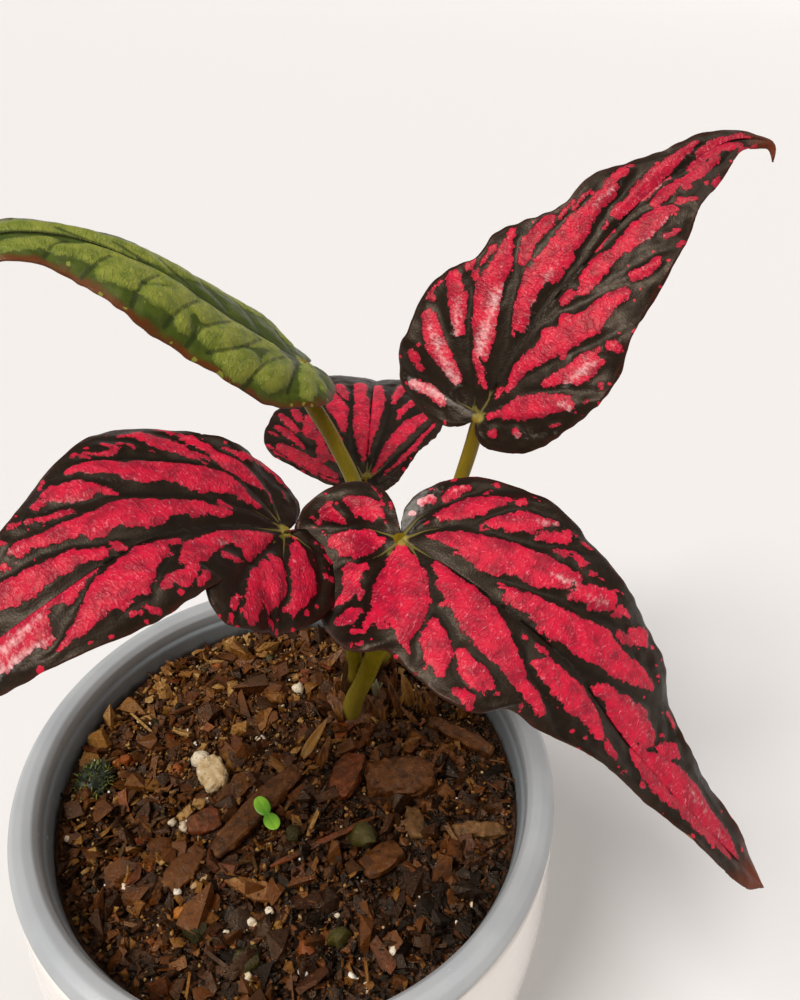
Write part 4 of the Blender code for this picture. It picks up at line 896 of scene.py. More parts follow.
def leaf_under(name, body, shade, ribs):
    """Begonia leaf, underside: matt and soft, with ribs that stand out and carry the colour"""
    mat = new_material(name)
    flat = add_node(mat, ATTRIBUTE, {}, attribute_name="flat")["Vector"]
    vein = add_node(mat, ATTRIBUTE, {}, attribute_name="vein")["Fac"]
    edge = add_node(mat, ATTRIBUTE, {}, attribute_name="edge")["Fac"]
    cloud = add_node(mat, GRAIN, {"Vector": flat, "Scale": 1 / 3.0, "Detail": 3})[0]
    net = add_node(mat, CELLS, {"Vector": flat, "Scale": 1 / RIB_NET_SIZE},
                   feature="DISTANCE_TO_EDGE")["Distance"]
    tone = paint(mat, colour(body), [(cloud, 0.3, 0.7, 0.8, shade), (net, 0.10, 0.02, 0.35, ribs),
                                     (vein, 0.8, 0.3, 0.9, ribs), (edge, 1.0, 0.2, 0.7, ribs)])
    rib = add_node(mat, RANGE, {"Value": vein, "From Min": 1.0, "From Max": 0.2})[0]
    height = 0.0
    for grain, weight in ((rib, 0.5), (net, -0.2), (cloud, 0.15)):
        height = add_node(mat, MATHS, {0: grain, 1: weight, 2: height},
                          operation="MULTIPLY_ADD")[0]
    relief = add_node(mat, BUMP, {"Height": height, "Distance": MM})[0]
    skin = add_node(mat, SURFACE, {"Base Color": tone, "Roughness": 0.62, "Normal": relief,
                                   "Specular IOR Level": 0.3, "Subsurface Weight": 0.08,
                                   "Subsurface Scale": 0.0015})
    add_node(mat, OUTPUT, {"Surface": skin[0]})
    return mat


def petiole_skin():
    """Begonia petiole: a full, juicy stem; smooth and slightly clear, with fine length lines"""
    mat = new_material("juicy_olive_petiole")
    share = add_node(mat, ATTRIBUTE, {}, attribute_name="share")["Fac"]
    dry = add_node(mat, ATTRIBUTE, {}, attribute_name="dry")["Fac"]
    place = add_node(mat, COORDS, {})["Object"]
    place = add_node(mat, MAPPING, {"Vector": place, "Scale": PER_MM})[0]
    along = add_node(mat, MAPPING, {"Vector": place, "Scale": (1, 1, 0.06)})[0]
    lines = add_node(mat, GRAIN, {"Vector": along, "Scale": 1 / 0.7, "Detail": 2,
                                  "Roughness": 0.6})[0]
    cloud = add_node(mat, GRAIN, {"Vector": place, "Scale": 1 / 6, "Detail": 2})[0]
    tone = paint(mat, colour("#7f6e0c"), [
        (lines, 0.35, 0.7, 0.6, "#988620"), (cloud, 0.5, 0.75, 0.6, "#62600c"),
        (share, 0.40, 0.05, 0.7, "#ab9638"), (share, 0.5, 0.95, 0.7, "#6f5608"),
        (share, 0.08, 0.02, 0.9, "#7a4a1c"), (dry, 0.3, 0.9, 1.0, "#3a2412", (lines, 0.3))])
    relief = add_node(mat, BUMP, {"Height": lines, "Distance": 0.08 * MM})[0]
    skin = add_node(mat, SURFACE, {
        "Base Color": tone, "Roughness": 0.42, "Normal": relief, "Specular IOR Level": 0.25,
        "Specular Tint": colour(WARM_SHEEN), "Subsurface Weight": 0.15,
        "Subsurface Scale": 0.002, "Subsurface Radius": (0.6, 0.7, 0.1)})
    add_node(mat, OUTPUT, {"Surface": skin[0]})
    return mat


def pot_glaze():
    """Glazed white pot: a hard, even glaze with a slight orange-peel swell"""
    mat = new_material("glossy_white_glaze")
    place = add_node(mat, COORDS, {})["Object"]
    place = add_node(mat, MAPPING, {"Vector": place, "Scale": PER_MM})[0]
    cloud = add_node(mat, GRAIN, {"Vector": place, "Scale": 1 / 30, "Detail": 2})[0]
    swell = add_node(mat, GRAIN, {"Vector": place, "Scale": 1 / 6, "Detail": 2})[0]
    tone = paint(mat, colour("#f3ebe2"), [(cloud, 0.4, 0.7, 1.0, "#f0e7dd")])
    relief = add_node(mat, BUMP, {"Height": swell, "Distance": 0.1 * MM})[0]
    skin = add_node(mat, SURFACE, {"Base Color": tone, "Roughness": 0.14, "Normal": relief,
                                   "Coat Weight": 0.4, "Coat Roughness": 0.05})
    add_node(mat, OUTPUT, {"Surface": skin[0]})
    return mat


def liner_plastic():
    """Moulded grey polypropylene: satin, darker below its rim, with splashes of soil and dust on
    its inner wall. The mould's fine grain is really about 0.1 mm, and is drawn at 0.5 mm."""
    mat = new_material("moulded_grey_polypropylene")
    place = add_node(mat, COORDS, {})["Object"]
    place = add_node(mat, MAPPING, {"Vector": place, "Scale": PER_MM})[0]
    height = add_node(mat, PARTS, {0: place})["Z"]
    cloud = add_node(mat, GRAIN, {"Vector": place, "Scale": 1 / 18, "Detail": 3})[0]
    splash = add_node(mat, GRAIN, {"Vector": place, "Scale": 1 / 4, "Detail": 5,
                                   "Roughness": 0.65})[0]
    fine = add_node(mat, GRAIN, {"Vector": place, "Scale": 1 / 0.5, "Detail": 2})[0]
    dust = add_node(mat, CELLS, {"Vector": place, "Scale": 1 / 4.5})
    rare = add_node(mat, PARTS, {0: dust["Color"]})[0]
    tone = paint(mat, colour("#adaeae"), [
        (cloud, 0.4, 0.7, 0.8, "#a2a4a5"),
        # darker below the rim: partly painted shade on the inner wall, partly a darker plastic
        (height, 122.8, 118.5, 0.8, "#6d7375"),
        (height, 117.6, 114.6, 0.8, "#2c1e12", (splash, 6.0)),
        (dust["Distance"], 0.15, 0.11, 0.7, "#c9c1b4", (rare, 0.4))])
    rough = add_node(mat, RANGE, {"Value": cloud, "To Min": 0.34, "To Max": 0.5})[0]
    relief = add_node(mat, BUMP, {"Height": fine, "Distance": 0.03 * MM})[0]
    skin = add_node(mat, SURFACE, {"Base Color": tone, "Roughness": rough, "Normal": relief})
    add_node(mat, OUTPUT, {"Surface": skin[0]})
    return mat


def mix_material(name, tones, dull, wet):
    """Damp bark, coir or mineral: each crumb has its own tone, its pores are darker, and it
    shines in the places where it is wet"""
    mat = new_material(name)
    place = add_node(mat, COORDS, {})["Object"]
    place = add_node(mat, MAPPING, {"Vector": place, "Scale": PER_MM})[0]
    crumb = add_node(mat, ATTRIBUTE, {}, attribute_name="tone")["Fac"]
    fibre = add_node(mat, GRAIN, {"Vector": place, "Scale": 1 / 0.9, "Detail": 5,
                                  "Roughness": 0.7})[0]
    cloud = add_node(mat, GRAIN, {"Vector": place, "Scale": 1 / 7, "Detail": 2})[0]
    damp = add_node(mat, GRAIN, {"Vector": place, "Scale": 1 / 2.5, "Detail": 2})[0]
    dark, brown, red, light, pale = tones
    tone = paint(mat, colour(dark), [
        (crumb, 0.15, 0.55, 1.0, brown, (fibre, 0.5)),
        (crumb, 0.72, 0.95, 0.75, red, (cloud, 0.9)),
        (crumb, 0.85, 1.20, 0.9, light, (fibre, 0.6)),
        (crumb, 1.20, 1.42, 0.9, pale, (fibre, 0.7)),
        (fibre, 0.46, 0.30, 0.85, dark)])
    rough = add_node(mat, RANGE, {"Value": damp, "From Min": 0.38, "From Max": 0.62,
                                  "To Min": wet, "To Max": dull})[0]
    relief = add_node(mat, BUMP, {"Height": fibre, "Distance": 0.4 * MM})[0]
    skin = add_node(mat, SURFACE, {"Base Color": tone, "Roughness": rough, "Normal": relief,
                                   "Specular IOR Level": 0.5, "Specular Tint": colour(WARM_SHEEN)})
    add_node(mat, OUTPUT, {"Surface": skin[0]})
    return mat


def papery_sheath():
    """Dried stipules and sheaths: thin brown paper with lengthwise fibres"""
    mat = new_material("dry_papery_sheath")
    place = add_node(mat, COORDS, {})["Object"]
    place = add_node(mat, MAPPING, {"Vector": place, "Scale": PER_MM})[0]
    tint = add_node(mat, ATTRIBUTE, {}, attribute_name="tone")["Fac"]
    upright = add_node(mat, MAPPING, {"Vector": place, "Scale": (1, 1, 0.12)})[0]
    streak = add_node(mat, GRAIN, {"Vector": upright, "Scale": 1 / 0.8, "Detail": 3,
                                   "Roughness": 0.6})[0]
    tone = paint(mat, colour("#502a10"), [
        (streak, 0.35, 0.7, 0.9, "#925a1e"),
        (tint, 0.75, 1.1, 0.8, "#b67e36", (streak, 0.5)),
        (tint, 1.02, 1.15, 0.9, "#a5a07c", (streak, 0.3))])
    relief = add_node(mat, BUMP, {"Height": streak, "Distance": 0.3 * MM})[0]
    skin = add_node(mat, SURFACE, {"Base Color": tone, "Roughness": 0.55, "Normal": relief})
    add_node(mat, OUTPUT, {"Surface": skin[0]})
    return mat


def small_green(name, dark, light, rough):
    """Living green of moss or a seed leaf: soft, slightly clear, brighter at its tips"""
    mat = new_material(name)
    tint = add_node(mat, ATTRIBUTE, {}, attribute_name="tone")["Fac"]
    place = add_node(mat, COORDS, {})["Object"]
    place = add_node(mat, MAPPING, {"Vector": place, "Scale": PER_MM})[0]
    cloud = add_node(mat, GRAIN, {"Vector": place, "Scale": 1 / 1.4, "Detail": 2})[0]
    tone = paint(mat, colour(dark), [(tint, 0.25, 1.1, 1.0, light, (cloud, 0.4))])
    relief = add_node(mat, BUMP, {"Height": cloud, "Distance": 0.1 * MM})[0]
    skin = add_node(mat, SURFACE, {"Base Color": tone, "Roughness": rough, "Normal": relief,
                                   "Subsurface Weight": 0.15, "Subsurface Scale": 0.001})
    add_node(mat, OUTPUT, {"Surface": skin[0]})
    return mat


# Pieces

def finish(name, bm, mats, replaced=(), smooth=60, modifiers=()):
    """Turn a mesh in mm into a finished piece, riding on the plant's only body"""
    bmesh.ops.scale(bm, vec=(MM, MM, MM), verts=bm.verts)
    mesh = bpy.data.meshes.new(name)
    bm.to_mesh(mesh)
    bm.free()
    piece = bpy.data.objects.new(name, mesh)
    bpy.context.scene.collection.objects.link(piece)
    for mat in mats:
        mesh.materials.append(mat)
    mesh.shade_smooth()
    if smooth < 180:
        mesh.set_sharp_from_angle(angle=math.radians(smooth))
    for kind, settings in modifiers:
        modifier = piece.modifiers.new(kind.lower(), kind)
        for key, value in settings.items():
            setattr(modifier, key, value)
    if modifiers:
        graph = bpy.context.evaluated_depsgraph_get()
        shaped = bpy.data.meshes.new_from_object(piece.evaluated_get(graph))
        piece.modifiers.clear()
        piece.data = shaped
    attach(piece, "root")
    if replaced:
        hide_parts(*replaced)
    return piece


def tube(bm, line, radii, sides):
    """Round stalk along a line, from a ring that is extruded and moved on step by step"""
    line = [Vector(point) for point in line]
    ring = bmesh.ops.create_circle(bm, segments=sides, radius=1, cap_ends=False)["verts"]
    edges = list({edge for vert in ring for edge in vert.link_edges})
    around = Vector((1, 0, 0))
    shape = [vert.co.copy() for vert in ring]
    made = list(ring)
    for index, place in enumerate(line):
        ahead = (line[min(index + 1, len(line) - 1)] - line[max(index - 1, 0)]).normalized()
        around = (around - ahead * around.dot(ahead)).normalized()
        side = ahead.cross(around)
        if index:
            grown = bmesh.ops.extrude_edge_only(bm, edges=edges)["geom"]
            ring = [item for item in grown if isinstance(item, bmesh.types.BMVert)]
            edges = [item for item in grown if isinstance(item, bmesh.types.BMEdge)]
            edges = [edge for edge in edges if all(vert in ring for vert in edge.verts)]
            made += ring
        for vert, corner in zip(ring, shape):
            vert.co = place + (around * corner.x + side * corner.y) * radii[index]
        if index == 0:
            bottom = list(edges)
    for rim in (bottom, edges):
        bmesh.ops.contextual_create(bm, geom=rim)
    return made


# Leaf shape: the same as the solids', with finer steps, puffed panels and a toothed margin

def smooth_curve(points, count):
    """Evenly spaced points on a smooth curve through the ones given"""
    given = np.array(points, float)
    knots = np.concatenate([[0], np.cumsum(np.linalg.norm(np.diff(given, axis=0), axis=1))])
    slope = np.gradient(given, knots, axis=0)
    t = np.linspace(0, knots[-1], 30 * len(given))
    span = np.clip(np.searchsorted(knots, t, side="right") - 1, 0, len(given) - 2)
    width = (knots[span + 1] - knots[span])[:, None]
    u = (t - knots[span])[:, None] / width
    fine = ((1 + 2 * u) * (1 - u) ** 2 * given[span] + u * (1 - u) ** 2 * width * slope[span]
            + u ** 2 * (3 - 2 * u) * given[span + 1]
            + u ** 2 * (u - 1) * width * slope[span + 1])
    run = np.concatenate([[0], np.cumsum(np.linalg.norm(np.diff(fine, axis=0), axis=1))])
    even = np.linspace(0, run[-1], count)
    return np.stack([np.interp(even, run, axis) for axis in fine.T], axis=1)


def unit(vectors):
    return vectors / np.linalg.norm(vectors, axis=-1, keepdims=True)


def leaf_frame(leaf, along):
    """Place, direction, left hand and upper side of the midrib, carried on straight behind it"""
    line = smooth_curve(leaf.midrib, 200)
    run = np.concatenate([[0], np.cumsum(np.linalg.norm(np.diff(line, axis=0), axis=1))])
    heading = unit(np.gradient(line, run, axis=0))
    inside = np.clip(along, 0, run[-1])
    place = np.stack([np.interp(inside, run, axis) for axis in line.T], axis=-1)
    ahead = unit(np.stack([np.interp(inside, run, axis) for axis in heading.T], axis=-1))
    share = (inside / run[-1])[..., None]
    face = (1 - share) * unit(np.array(leaf.face[0])) + share * unit(np.array(leaf.face[1]))
    hand = unit(np.cross(face, ahead))
    upper = np.cross(ahead, hand)
    return place + ahead * (along - inside)[..., None], ahead, hand, upper, share[..., 0]


def leaf_point(leaf, along, across, lift=0.0):
    """Bend points of the flat leaf. Plus across is the left hand, seen from above"""
    place, _, hand, upper, share = leaf_frame(leaf, along)
    left = across > 0
    rise = np.radians(np.where(left, leaf.fold[0], leaf.fold[1])) * np.clip(along / 8, 0, 1)
    bend = np.where(left, np.interp(share, [0, 0.5, 1], leaf.curl[0]),
                    np.interp(share, [0, 0.5, 1], leaf.curl[1]))
    bend = np.radians(bend) + 1e-9
    reach = np.abs(across)
    out = (np.sin(rise + bend * reach) - np.sin(rise)) / bend
    up = (np.cos(rise) - np.cos(rise + bend * reach)) / bend
    return (place + hand * (np.sign(across) * out)[..., None]
            + upper * (up + lift)[..., None])


def flat_place(leaf, side, share, reach):
    """Flat place of a grid point: share runs along the margin, reach from midrib to margin"""
    outline = smooth_curve(leaf.left if side > 0 else leaf.right, 400)
    stations = np.linspace(0, 1, len(outline))
    margin = np.stack([np.interp(share, stations, axis) for axis in outline.T], axis=-1)
    foot = np.clip((share - LOBE_SHARE) / (1 - LOBE_SHARE), 0, 1) ** VEIN_SPREAD
    foot = np.stack([foot * outline[-1, 0], 0 * foot], axis=-1)
    return foot + (margin - foot) * reach[..., None]


def wave_height(leaf, side, share, reach):
    """How far the waved margin stands off the blade's even curve"""
    count = leaf.waves[0] if side > 0 else leaf.waves[1]
    fade = np.sqrt(np.sin(np.pi * np.clip(share, 0, 1)))
    return leaf.waves[2] * reach ** 3 * fade * np.sin(math.tau * count * share)


def segment_distance(points, start, end):
    """Distance of flat points from a segment, and how far along it the nearest place is"""
    line = end - start
    share = np.clip((points - start) @ line / max(line @ line, 1e-9), 0, 1)
    return np.linalg.norm(points - start - share[:, None] * line, axis=1), share


def find_flat(pixels, screen, depth, flat):
    """Flat places on a half blade that show at pixels of the photograph"""
    found = []
    for pixel in pixels:
        miss = np.linalg.norm(screen - np.array(pixel), axis=1)
        close = miss < miss.min() + NEAR_PIXELS
        found.append(flat[close][np.argmin(depth[close])])
    return found


def ease(value):
    """Smooth step from 0 to 1"""
    value = np.clip(value, 0, 1)
    return value * value * (3 - 2 * value)


def half_blade(bm, name, side, layers):
    """One half of a blade as a grid, with its distances to blotches, veins and margin"""
    leaf, marks = LEAVES[name], MARKS[name, side]
    grid = bmesh.ops.create_grid(bm, x_segments=BLADE_ROWS, y_segments=BLADE_COLUMNS,
                                 size=0.5)["verts"]
    share = np.array([vert.co.x + 0.5 for vert in grid])
    reach = np.array([vert.co.y + 0.5 for vert in grid])
    flat = flat_place(leaf, side, share, reach)
    margin = flat_place(leaf, side, share, np.ones_like(reach))
    edge = np.linalg.norm(margin - flat, axis=1)
    lift = wave_height(leaf, side, share, reach)
    even = leaf_point(leaf, flat[:, 0], flat[:, 1], lift)
    screen = photo_pixels(even)
    depth = np.linalg.norm(even - np.array(EYE), axis=1)

    fields = []
    # the second field is the mask of painted sheen, a painted highlight
    for strokes in (marks.blotches, marks.painted_sheen):
        field = np.full(len(grid), NO_STROKE)
        for start, end, first, last in strokes:
            away, place = segment_distance(flat, *find_flat((start, end), screen, depth, flat))
            field = np.maximum(field, first + (last - first) * place - away)
        fields.append(field)
    patch, painted_sheen = fields
    patch = patch + STROKE_GAIN.get(name, 0)
    vein = np.where(flat[:, 0] < 0, np.linalg.norm(flat, axis=1), np.abs(flat[:, 1]))
    for line in marks.veins:
        points = smooth_curve(find_flat(line, screen, depth, flat), 8)
        for start, end in zip(points, points[1:]):
            vein = np.minimum(vein, segment_distance(flat, start, end)[0])

    rise = 0.5 * ease(vein / PUFF_REACH) + 0.5 * ease((patch - BLOTCH_START) / BLOTCH_SLOPE)
    rise = rise * np.clip(edge / PUFF_EDGE, 0, 1)
    teeth = np.array([noise.noise(Vector((s * TOOTH_PACE, side * 3.0, 7.7))) for s in share])
    out = unit(margin - flat + 1e-9)
    flat = flat + out * (teeth * TOOTH * reach ** 8)[:, None]
    quilt = np.array([noise.noise(Vector((x / QUILT_SIZE, y / QUILT_SIZE, 1.3)))
                      for x, y in flat])
    lift = lift + PUFF * (rise - 0.5) + QUILT_HEIGHT * quilt * np.clip(vein, 0, 1)
    places = leaf_point(leaf, flat[:, 0], flat[:, 1], lift)
    if (name, side) in LOBE_SHIFTS:
        middle, extent, towards = LOBE_SHIFTS[name, side]
        near = ease((extent - np.linalg.norm(flat - np.array(middle), axis=1)) / (0.6 * extent))
        places += unit(np.array(EYE) - places) * (towards * near * ease(reach * 2))[:, None]
    knot = np.linalg.norm(flat, axis=1)
    length = flat_place(leaf, side, np.ones(1), np.ones(1))[0, 0]
    for vert, place, *values, x, y in zip(grid, places, patch, painted_sheen, vein, edge, knot,
                                          length - flat[:, 0], flat[:, 0], flat[:, 1]):
        vert.co = place
        for layer, value in zip(layers[:-1], values):
            vert[layer] = value
        vert[layers[-1]] = (x, y, side * 40.0)


def build_blade(name, mats):
    leaf = LEAVES[name]
    bm = bmesh.new()
    layers = [bm.verts.layers.float.new(word) for word in BLADE_VALUES]
    layers.append(bm.verts.layers.float_vector.new("flat"))
    for side in (1, -1):
        half_blade(bm, name, side, layers)
    bmesh.ops.remove_doubles(bm, verts=bm.verts, dist=0.02)
    bmesh.ops.recalc_face_normals(bm, faces=bm.faces)
    upper = Vector(leaf_frame(leaf, np.array([20.0]))[3][0])
    if sum(face.normal.dot(upper) for face in bm.faces) < 0:
        bmesh.ops.reverse_faces(bm, faces=bm.faces)
    skin = {"thickness": BLADE_THICKNESS * MM, "offset": 0, "material_offset": 1,
            "material_offset_rim": 0}
    return finish("leaf_" + name, bm, mats, ["blade_" + name], smooth=180,
                  modifiers=[("SOLIDIFY", skin)])


def build_petiole(name, mat):
    """Bare stalk from the crown into the underside of its blade"""
    leaf = LEAVES[name]
    foot = (*leaf.petiole[0], PETIOLE_FOOT)
    place, ahead, _, upper, _ = (item[0] for item in leaf_frame(leaf, np.array([0.0])))
    below = place - upper * 0.35
    near = below - upper * 3.0 - ahead * 2.5
    straight = (foot[0], foot[1], foot[2] + 6)
    line = smooth_curve([foot, straight] + leaf.petiole[1:] + [near, below], 64)
    share = np.linspace(0, 1, len(line))
    radii = leaf.stalk[0] + (leaf.stalk[1] - leaf.stalk[0]) * share
    radii = radii * (1 + 0.03 * np.sin(share * 23))
    radii = radii * (1 - 0.25 * np.clip((share - 0.95) / 0.05, 0, 1))
    bm = bmesh.new()
    layer = bm.verts.layers.float.new("share")
    dry = bm.verts.layers.float.new("dry")
    for index, vert in enumerate(tube(bm, line, radii, PETIOLE_SIDES)):
        step = index // PETIOLE_SIDES
        vert[layer] = share[step]
        if name != "front":
            vert[dry] = min(1, max(0, (DRY_HEIGHT - line[step][2]) / DRY_FADE))
    bmesh.ops.recalc_face_normals(bm, faces=bm.faces)
    return finish("stalk_" + name, bm, [mat], ["petiole_" + name], smooth=50)


# Pots

def turned(profile, rounding):
    """Round the corners of a profile that starts and ends on the axis, and spin it"""
    bm = bmesh.new()
    points = [bm.verts.new((radius, 0, height)) for radius, height in profile]
    for pair in zip(points, points[1:]):
        bm.edges.new(pair)
    bmesh.ops.bevel(bm, geom=points[1:-1], offset=rounding, offset_type="OFFSET", segments=4,
                    profile=0.5, affect="VERTICES", material=-1, clamp_overlap=True)
    bmesh.ops.spin(bm, geom=bm.verts[:] + bm.edges[:], cent=(0, 0, 0), axis=(0, 0, 1),
                   angle=math.tau, steps=ROUND_STEPS, use_merge=True)
    bmesh.ops.remove_doubles(bm, verts=bm.verts, dist=0.01)
    bmesh.ops.recalc_face_normals(bm, faces=bm.faces)
    return bm


def build_outer_pot():
    profile = [(0, 0), (61, 0)] + [tuple(point) for point in smooth_curve(POT_OUTSIDE, 26)]
    profile += [(69.4, POT_HEIGHT), (67.8, POT_HEIGHT)]
    profile += [tuple(point) for point in smooth_curve(POT_INSIDE, 20)] + [(0, POT_FLOOR)]
    return finish("white_outer_pot", turned(profile, 0.5), [pot_glaze()],
                  ["outer_pot"], smooth=50)


def build_liner():
    profile = [(0, LINER_FLOOR - 1.6)] + LINER_OUTSIDE + LINER_RIM + LINER_INSIDE
    profile += [(52.4, LINER_FLOOR), (0, LINER_FLOOR)]
    return finish("grey_liner", turned(profile, 0.6), [liner_plastic()],
                  ["liner"], smooth=50)


# Growing mix

def liner_inside(height):
    """Radius of the liner's inner wall"""
    (top_radius, top), (low_radius, low) = LINER_INSIDE
    share = (height - low) / (top - low)
    return low_radius + share * (top_radius - low_radius)


def soil_height(x, y):
    """Surface of the mix: broad swells with coarser lumps on them"""
    broad = noise.noise(Vector((x / 17, y / 17, 3.1)))
    lumps = noise.noise(Vector((x / 6, y / 6, 8.4)))
    return SOIL_TOP + SOIL_RELIEF * (broad + 0.55 * lumps)


def build_mix(mat):
    """Body of the mix, from the liner's floor to a rough top, just inside the liner's wall"""
    bottom = LINER_FLOOR + GAP
    edge = liner_inside(SOIL_TOP) - 0.05
    low = (liner_inside(MIX_BEND) - GAP, MIX_BEND)
    profile = [(0, bottom), (MIX_FOOT, bottom), low, (edge, SOIL_TOP)]
    profile += [(edge * ring / MIX_RINGS, SOIL_TOP) for ring in range(MIX_RINGS - 1, -1, -1)]
    bm = bmesh.new()
    points = [bm.verts.new((radius, 0, height)) for radius, height in profile]
    edges = [bm.edges.new(pair) for pair in zip(points, points[1:])]
    bmesh.ops.spin(bm, geom=points + edges, cent=(0, 0, 0), axis=(0, 0, 1), angle=math.tau,
                   steps=MIX_STEPS, use_merge=True)
    bmesh.ops.remove_doubles(bm, verts=bm.verts, dist=0.01)
    bmesh.ops.recalc_face_normals(bm, faces=bm.faces)
    layer = bm.verts.layers.float.new("tone")
    for vert in bm.verts:
        x, y, z = vert.co
        fine = noise.fractal(Vector((x / 2.4, y / 2.4, 5)), 0.9, 2.1, 4)
        vert[layer] = 0.15 + 0.35 * fine
        if z > SOIL_TOP - 0.1 and math.hypot(x, y) < edge - 0.1:
            vert.co.z = soil_height(x, y) - 0.6 + 0.9 * fine
    return finish("bark_mix", bm, [mat], ["growing_mix"], smooth=180)


@dataclass
class Crumb:
    """One scattered crumb: place, turn, size along its own axes, and how light it is"""
    place: Vector
    turn: Quaternion
    size: list
    tone: float


def crumb_shape(dice, kind):
    """One crumb about 2 mm across: a grain, a bead, a lump, a flake or a splinter"""
    bm = bmesh.new()
    if kind in ("grain", "bead"):
        bmesh.ops.create_icosphere(bm, subdivisions=1 if kind == "grain" else 2, radius=1)
        offset = Vector((dice.random() * 50, dice.random() * 50, 0))
        uneven = 0.8 if kind == "grain" else 0.6
        for vert in bm.verts:
            vert.co *= 1 + uneven * noise.noise(vert.co * 2.0 + offset)
    elif kind == "lump":
        for _ in range(16):
            bm.verts.new([half * dice.uniform(-1, 1) for half in (1.3, 1.0, 0.75)])
        hull = bmesh.ops.convex_hull(bm, input=bm.verts[:])
        spare = [item for item in hull["geom_interior"] if isinstance(item, bmesh.types.BMVert)]
        bmesh.ops.delete(bm, geom=spare, context="VERTS")
    else:
        bmesh.ops.create_cube(bm, size=2)
        size = (1.2, 0.8, 0.22) if kind == "flake" else (2.4, 0.32, 0.26)
        for vert in bm.verts:
            for axis in range(3):
                vert.co[axis] *= size[axis] * dice.uniform(0.5, 1.15)
        bmesh.ops.subdivide_edges(bm, edges=bm.edges[:], cuts=1, use_grid_fill=True)
        for vert in bm.verts:
            vert.co += Vector([dice.uniform(-0.09, 0.09) for _ in range(3)])
    return bm


def scatter(name, shapes, crumbs, mat, smooth=35):
    """Copies of a few shapes, one for each crumb in turn, as one piece"""
    bm = bmesh.new()
    layer = bm.verts.layers.float.new("tone")
    meshes = []
    for shape in shapes:
        mesh = bpy.data.meshes.new(name + "_shape")
        shape.to_mesh(mesh)
        shape.free()
        meshes.append(mesh)
    for index in range(len(crumbs)):
        bm.from_mesh(meshes[index % len(meshes)])
    verts = iter(bm.verts)
    for index, crumb in enumerate(crumbs):
        matrix = Matrix.LocRotScale(crumb.place, crumb.turn, Vector(crumb.size))
        for _ in meshes[index % len(meshes)].vertices:
            vert = next(verts)
            vert.co = matrix @ vert.co
            vert[layer] = crumb.tone
    for mesh in meshes:
        bpy.data.meshes.remove(mesh)
    return finish(name, bm, [mat], smooth=smooth)


def random_turn(dice, tilt):
    """Any heading, leaning by up to tilt from flat"""
    roll = Quaternion((1, 0, 0), dice.uniform(-tilt, tilt))
    pitch = Quaternion((0, 1, 0), dice.uniform(-tilt, tilt))
    return Quaternion((0, 0, 1), dice.uniform(0, math.tau)) @ (roll @ pitch)


def on_chip(x, y, half):
    """Whether a crumb would hide one of the loose pieces"""
    for chip in CHIPS.values():
        turn = Matrix.Rotation(math.radians(-chip.turn), 2)
        away = turn @ Vector((x - chip.place[0], y - chip.place[1]))
        if abs(away.x) < chip.size[0] / 2 and abs(away.y) < chip.size[1] / 2 + 0.4 * half:
            return True
    return False


def strewn(dice, throw):
    """Crumbs of one throw, spread evenly over the mix. Painted light makes them lighter at the back
    left and where they lie high; painted shade makes them darker where they lie low."""
    (small, large), (low, high), (dark, light) = throw.sizes, throw.sink, throw.tones
    crumbs = []
    for _ in range(throw.count):
        angle, reach = dice.uniform(0, math.tau), SOIL_REACH * math.sqrt(dice.random())
        x, y = reach * math.cos(angle), reach * math.sin(angle)
        half = (small + (large - small) * dice.random() ** 2) / 2
        if reach + half > liner_inside(SOIL_TOP) - 0.2 or on_chip(x, y, half):
            continue
        lift = dice.random()
        z = soil_height(x, y) + half * (low + (high - low) * lift)
        size = [half * dice.uniform(0.5, 1.4) for _ in range(3)]
        # painted light and shade: lighter at the back left, where the light falls, and where crumbs
        # lie high; darker where they lie low
        painted_light_and_shade = 0.18 * (y - x) / SOIL_REACH + 0.4 * (lift - 0.5) - 0.04
        tone = dark + (light - dark) * dice.random() ** 1.5 + painted_light_and_shade
        crumbs.append(Crumb(Vector((x, y, z)), random_turn(dice, throw.lean), size, tone))
    return crumbs


def placed(dice, grains, tones):
    """Grains at their own pixels of the photograph, half sunk in the mix"""
    crumbs = []
    for pixel_x, pixel_y, width in grains:
        x, y, _ = pixel_place(pixel_x, pixel_y, 2, SOIL_TOP)
        size = [width / 2 * dice.uniform(0.85, 1.15) for _ in range(3)]
        place = Vector((x, y, soil_height(x, y) + width * 0.22))
        crumbs.append(Crumb(place, random_turn(dice, 1.5), size, dice.uniform(*tones)))
    return crumbs


def build_crumbs(kinds):
    dice = random.Random(SEED)
    shapes = {name: [crumb_shape(dice, form) for _ in range(count)]
              for name, (form, count) in CRUMB_SHAPES.items()}
    for name, (kind, slot, smooth, throws) in STREWN.items():
        crumbs = [crumb for throw in throws for crumb in strewn(dice, throw)]
        scatter(name, shapes[name], crumbs, kinds[kind], smooth)
    for name, (kind, slot, smooth, grains, tones) in PLACED.items():
        scatter(name, shapes[name], placed(dice, grains, tones), kinds[kind], smooth)


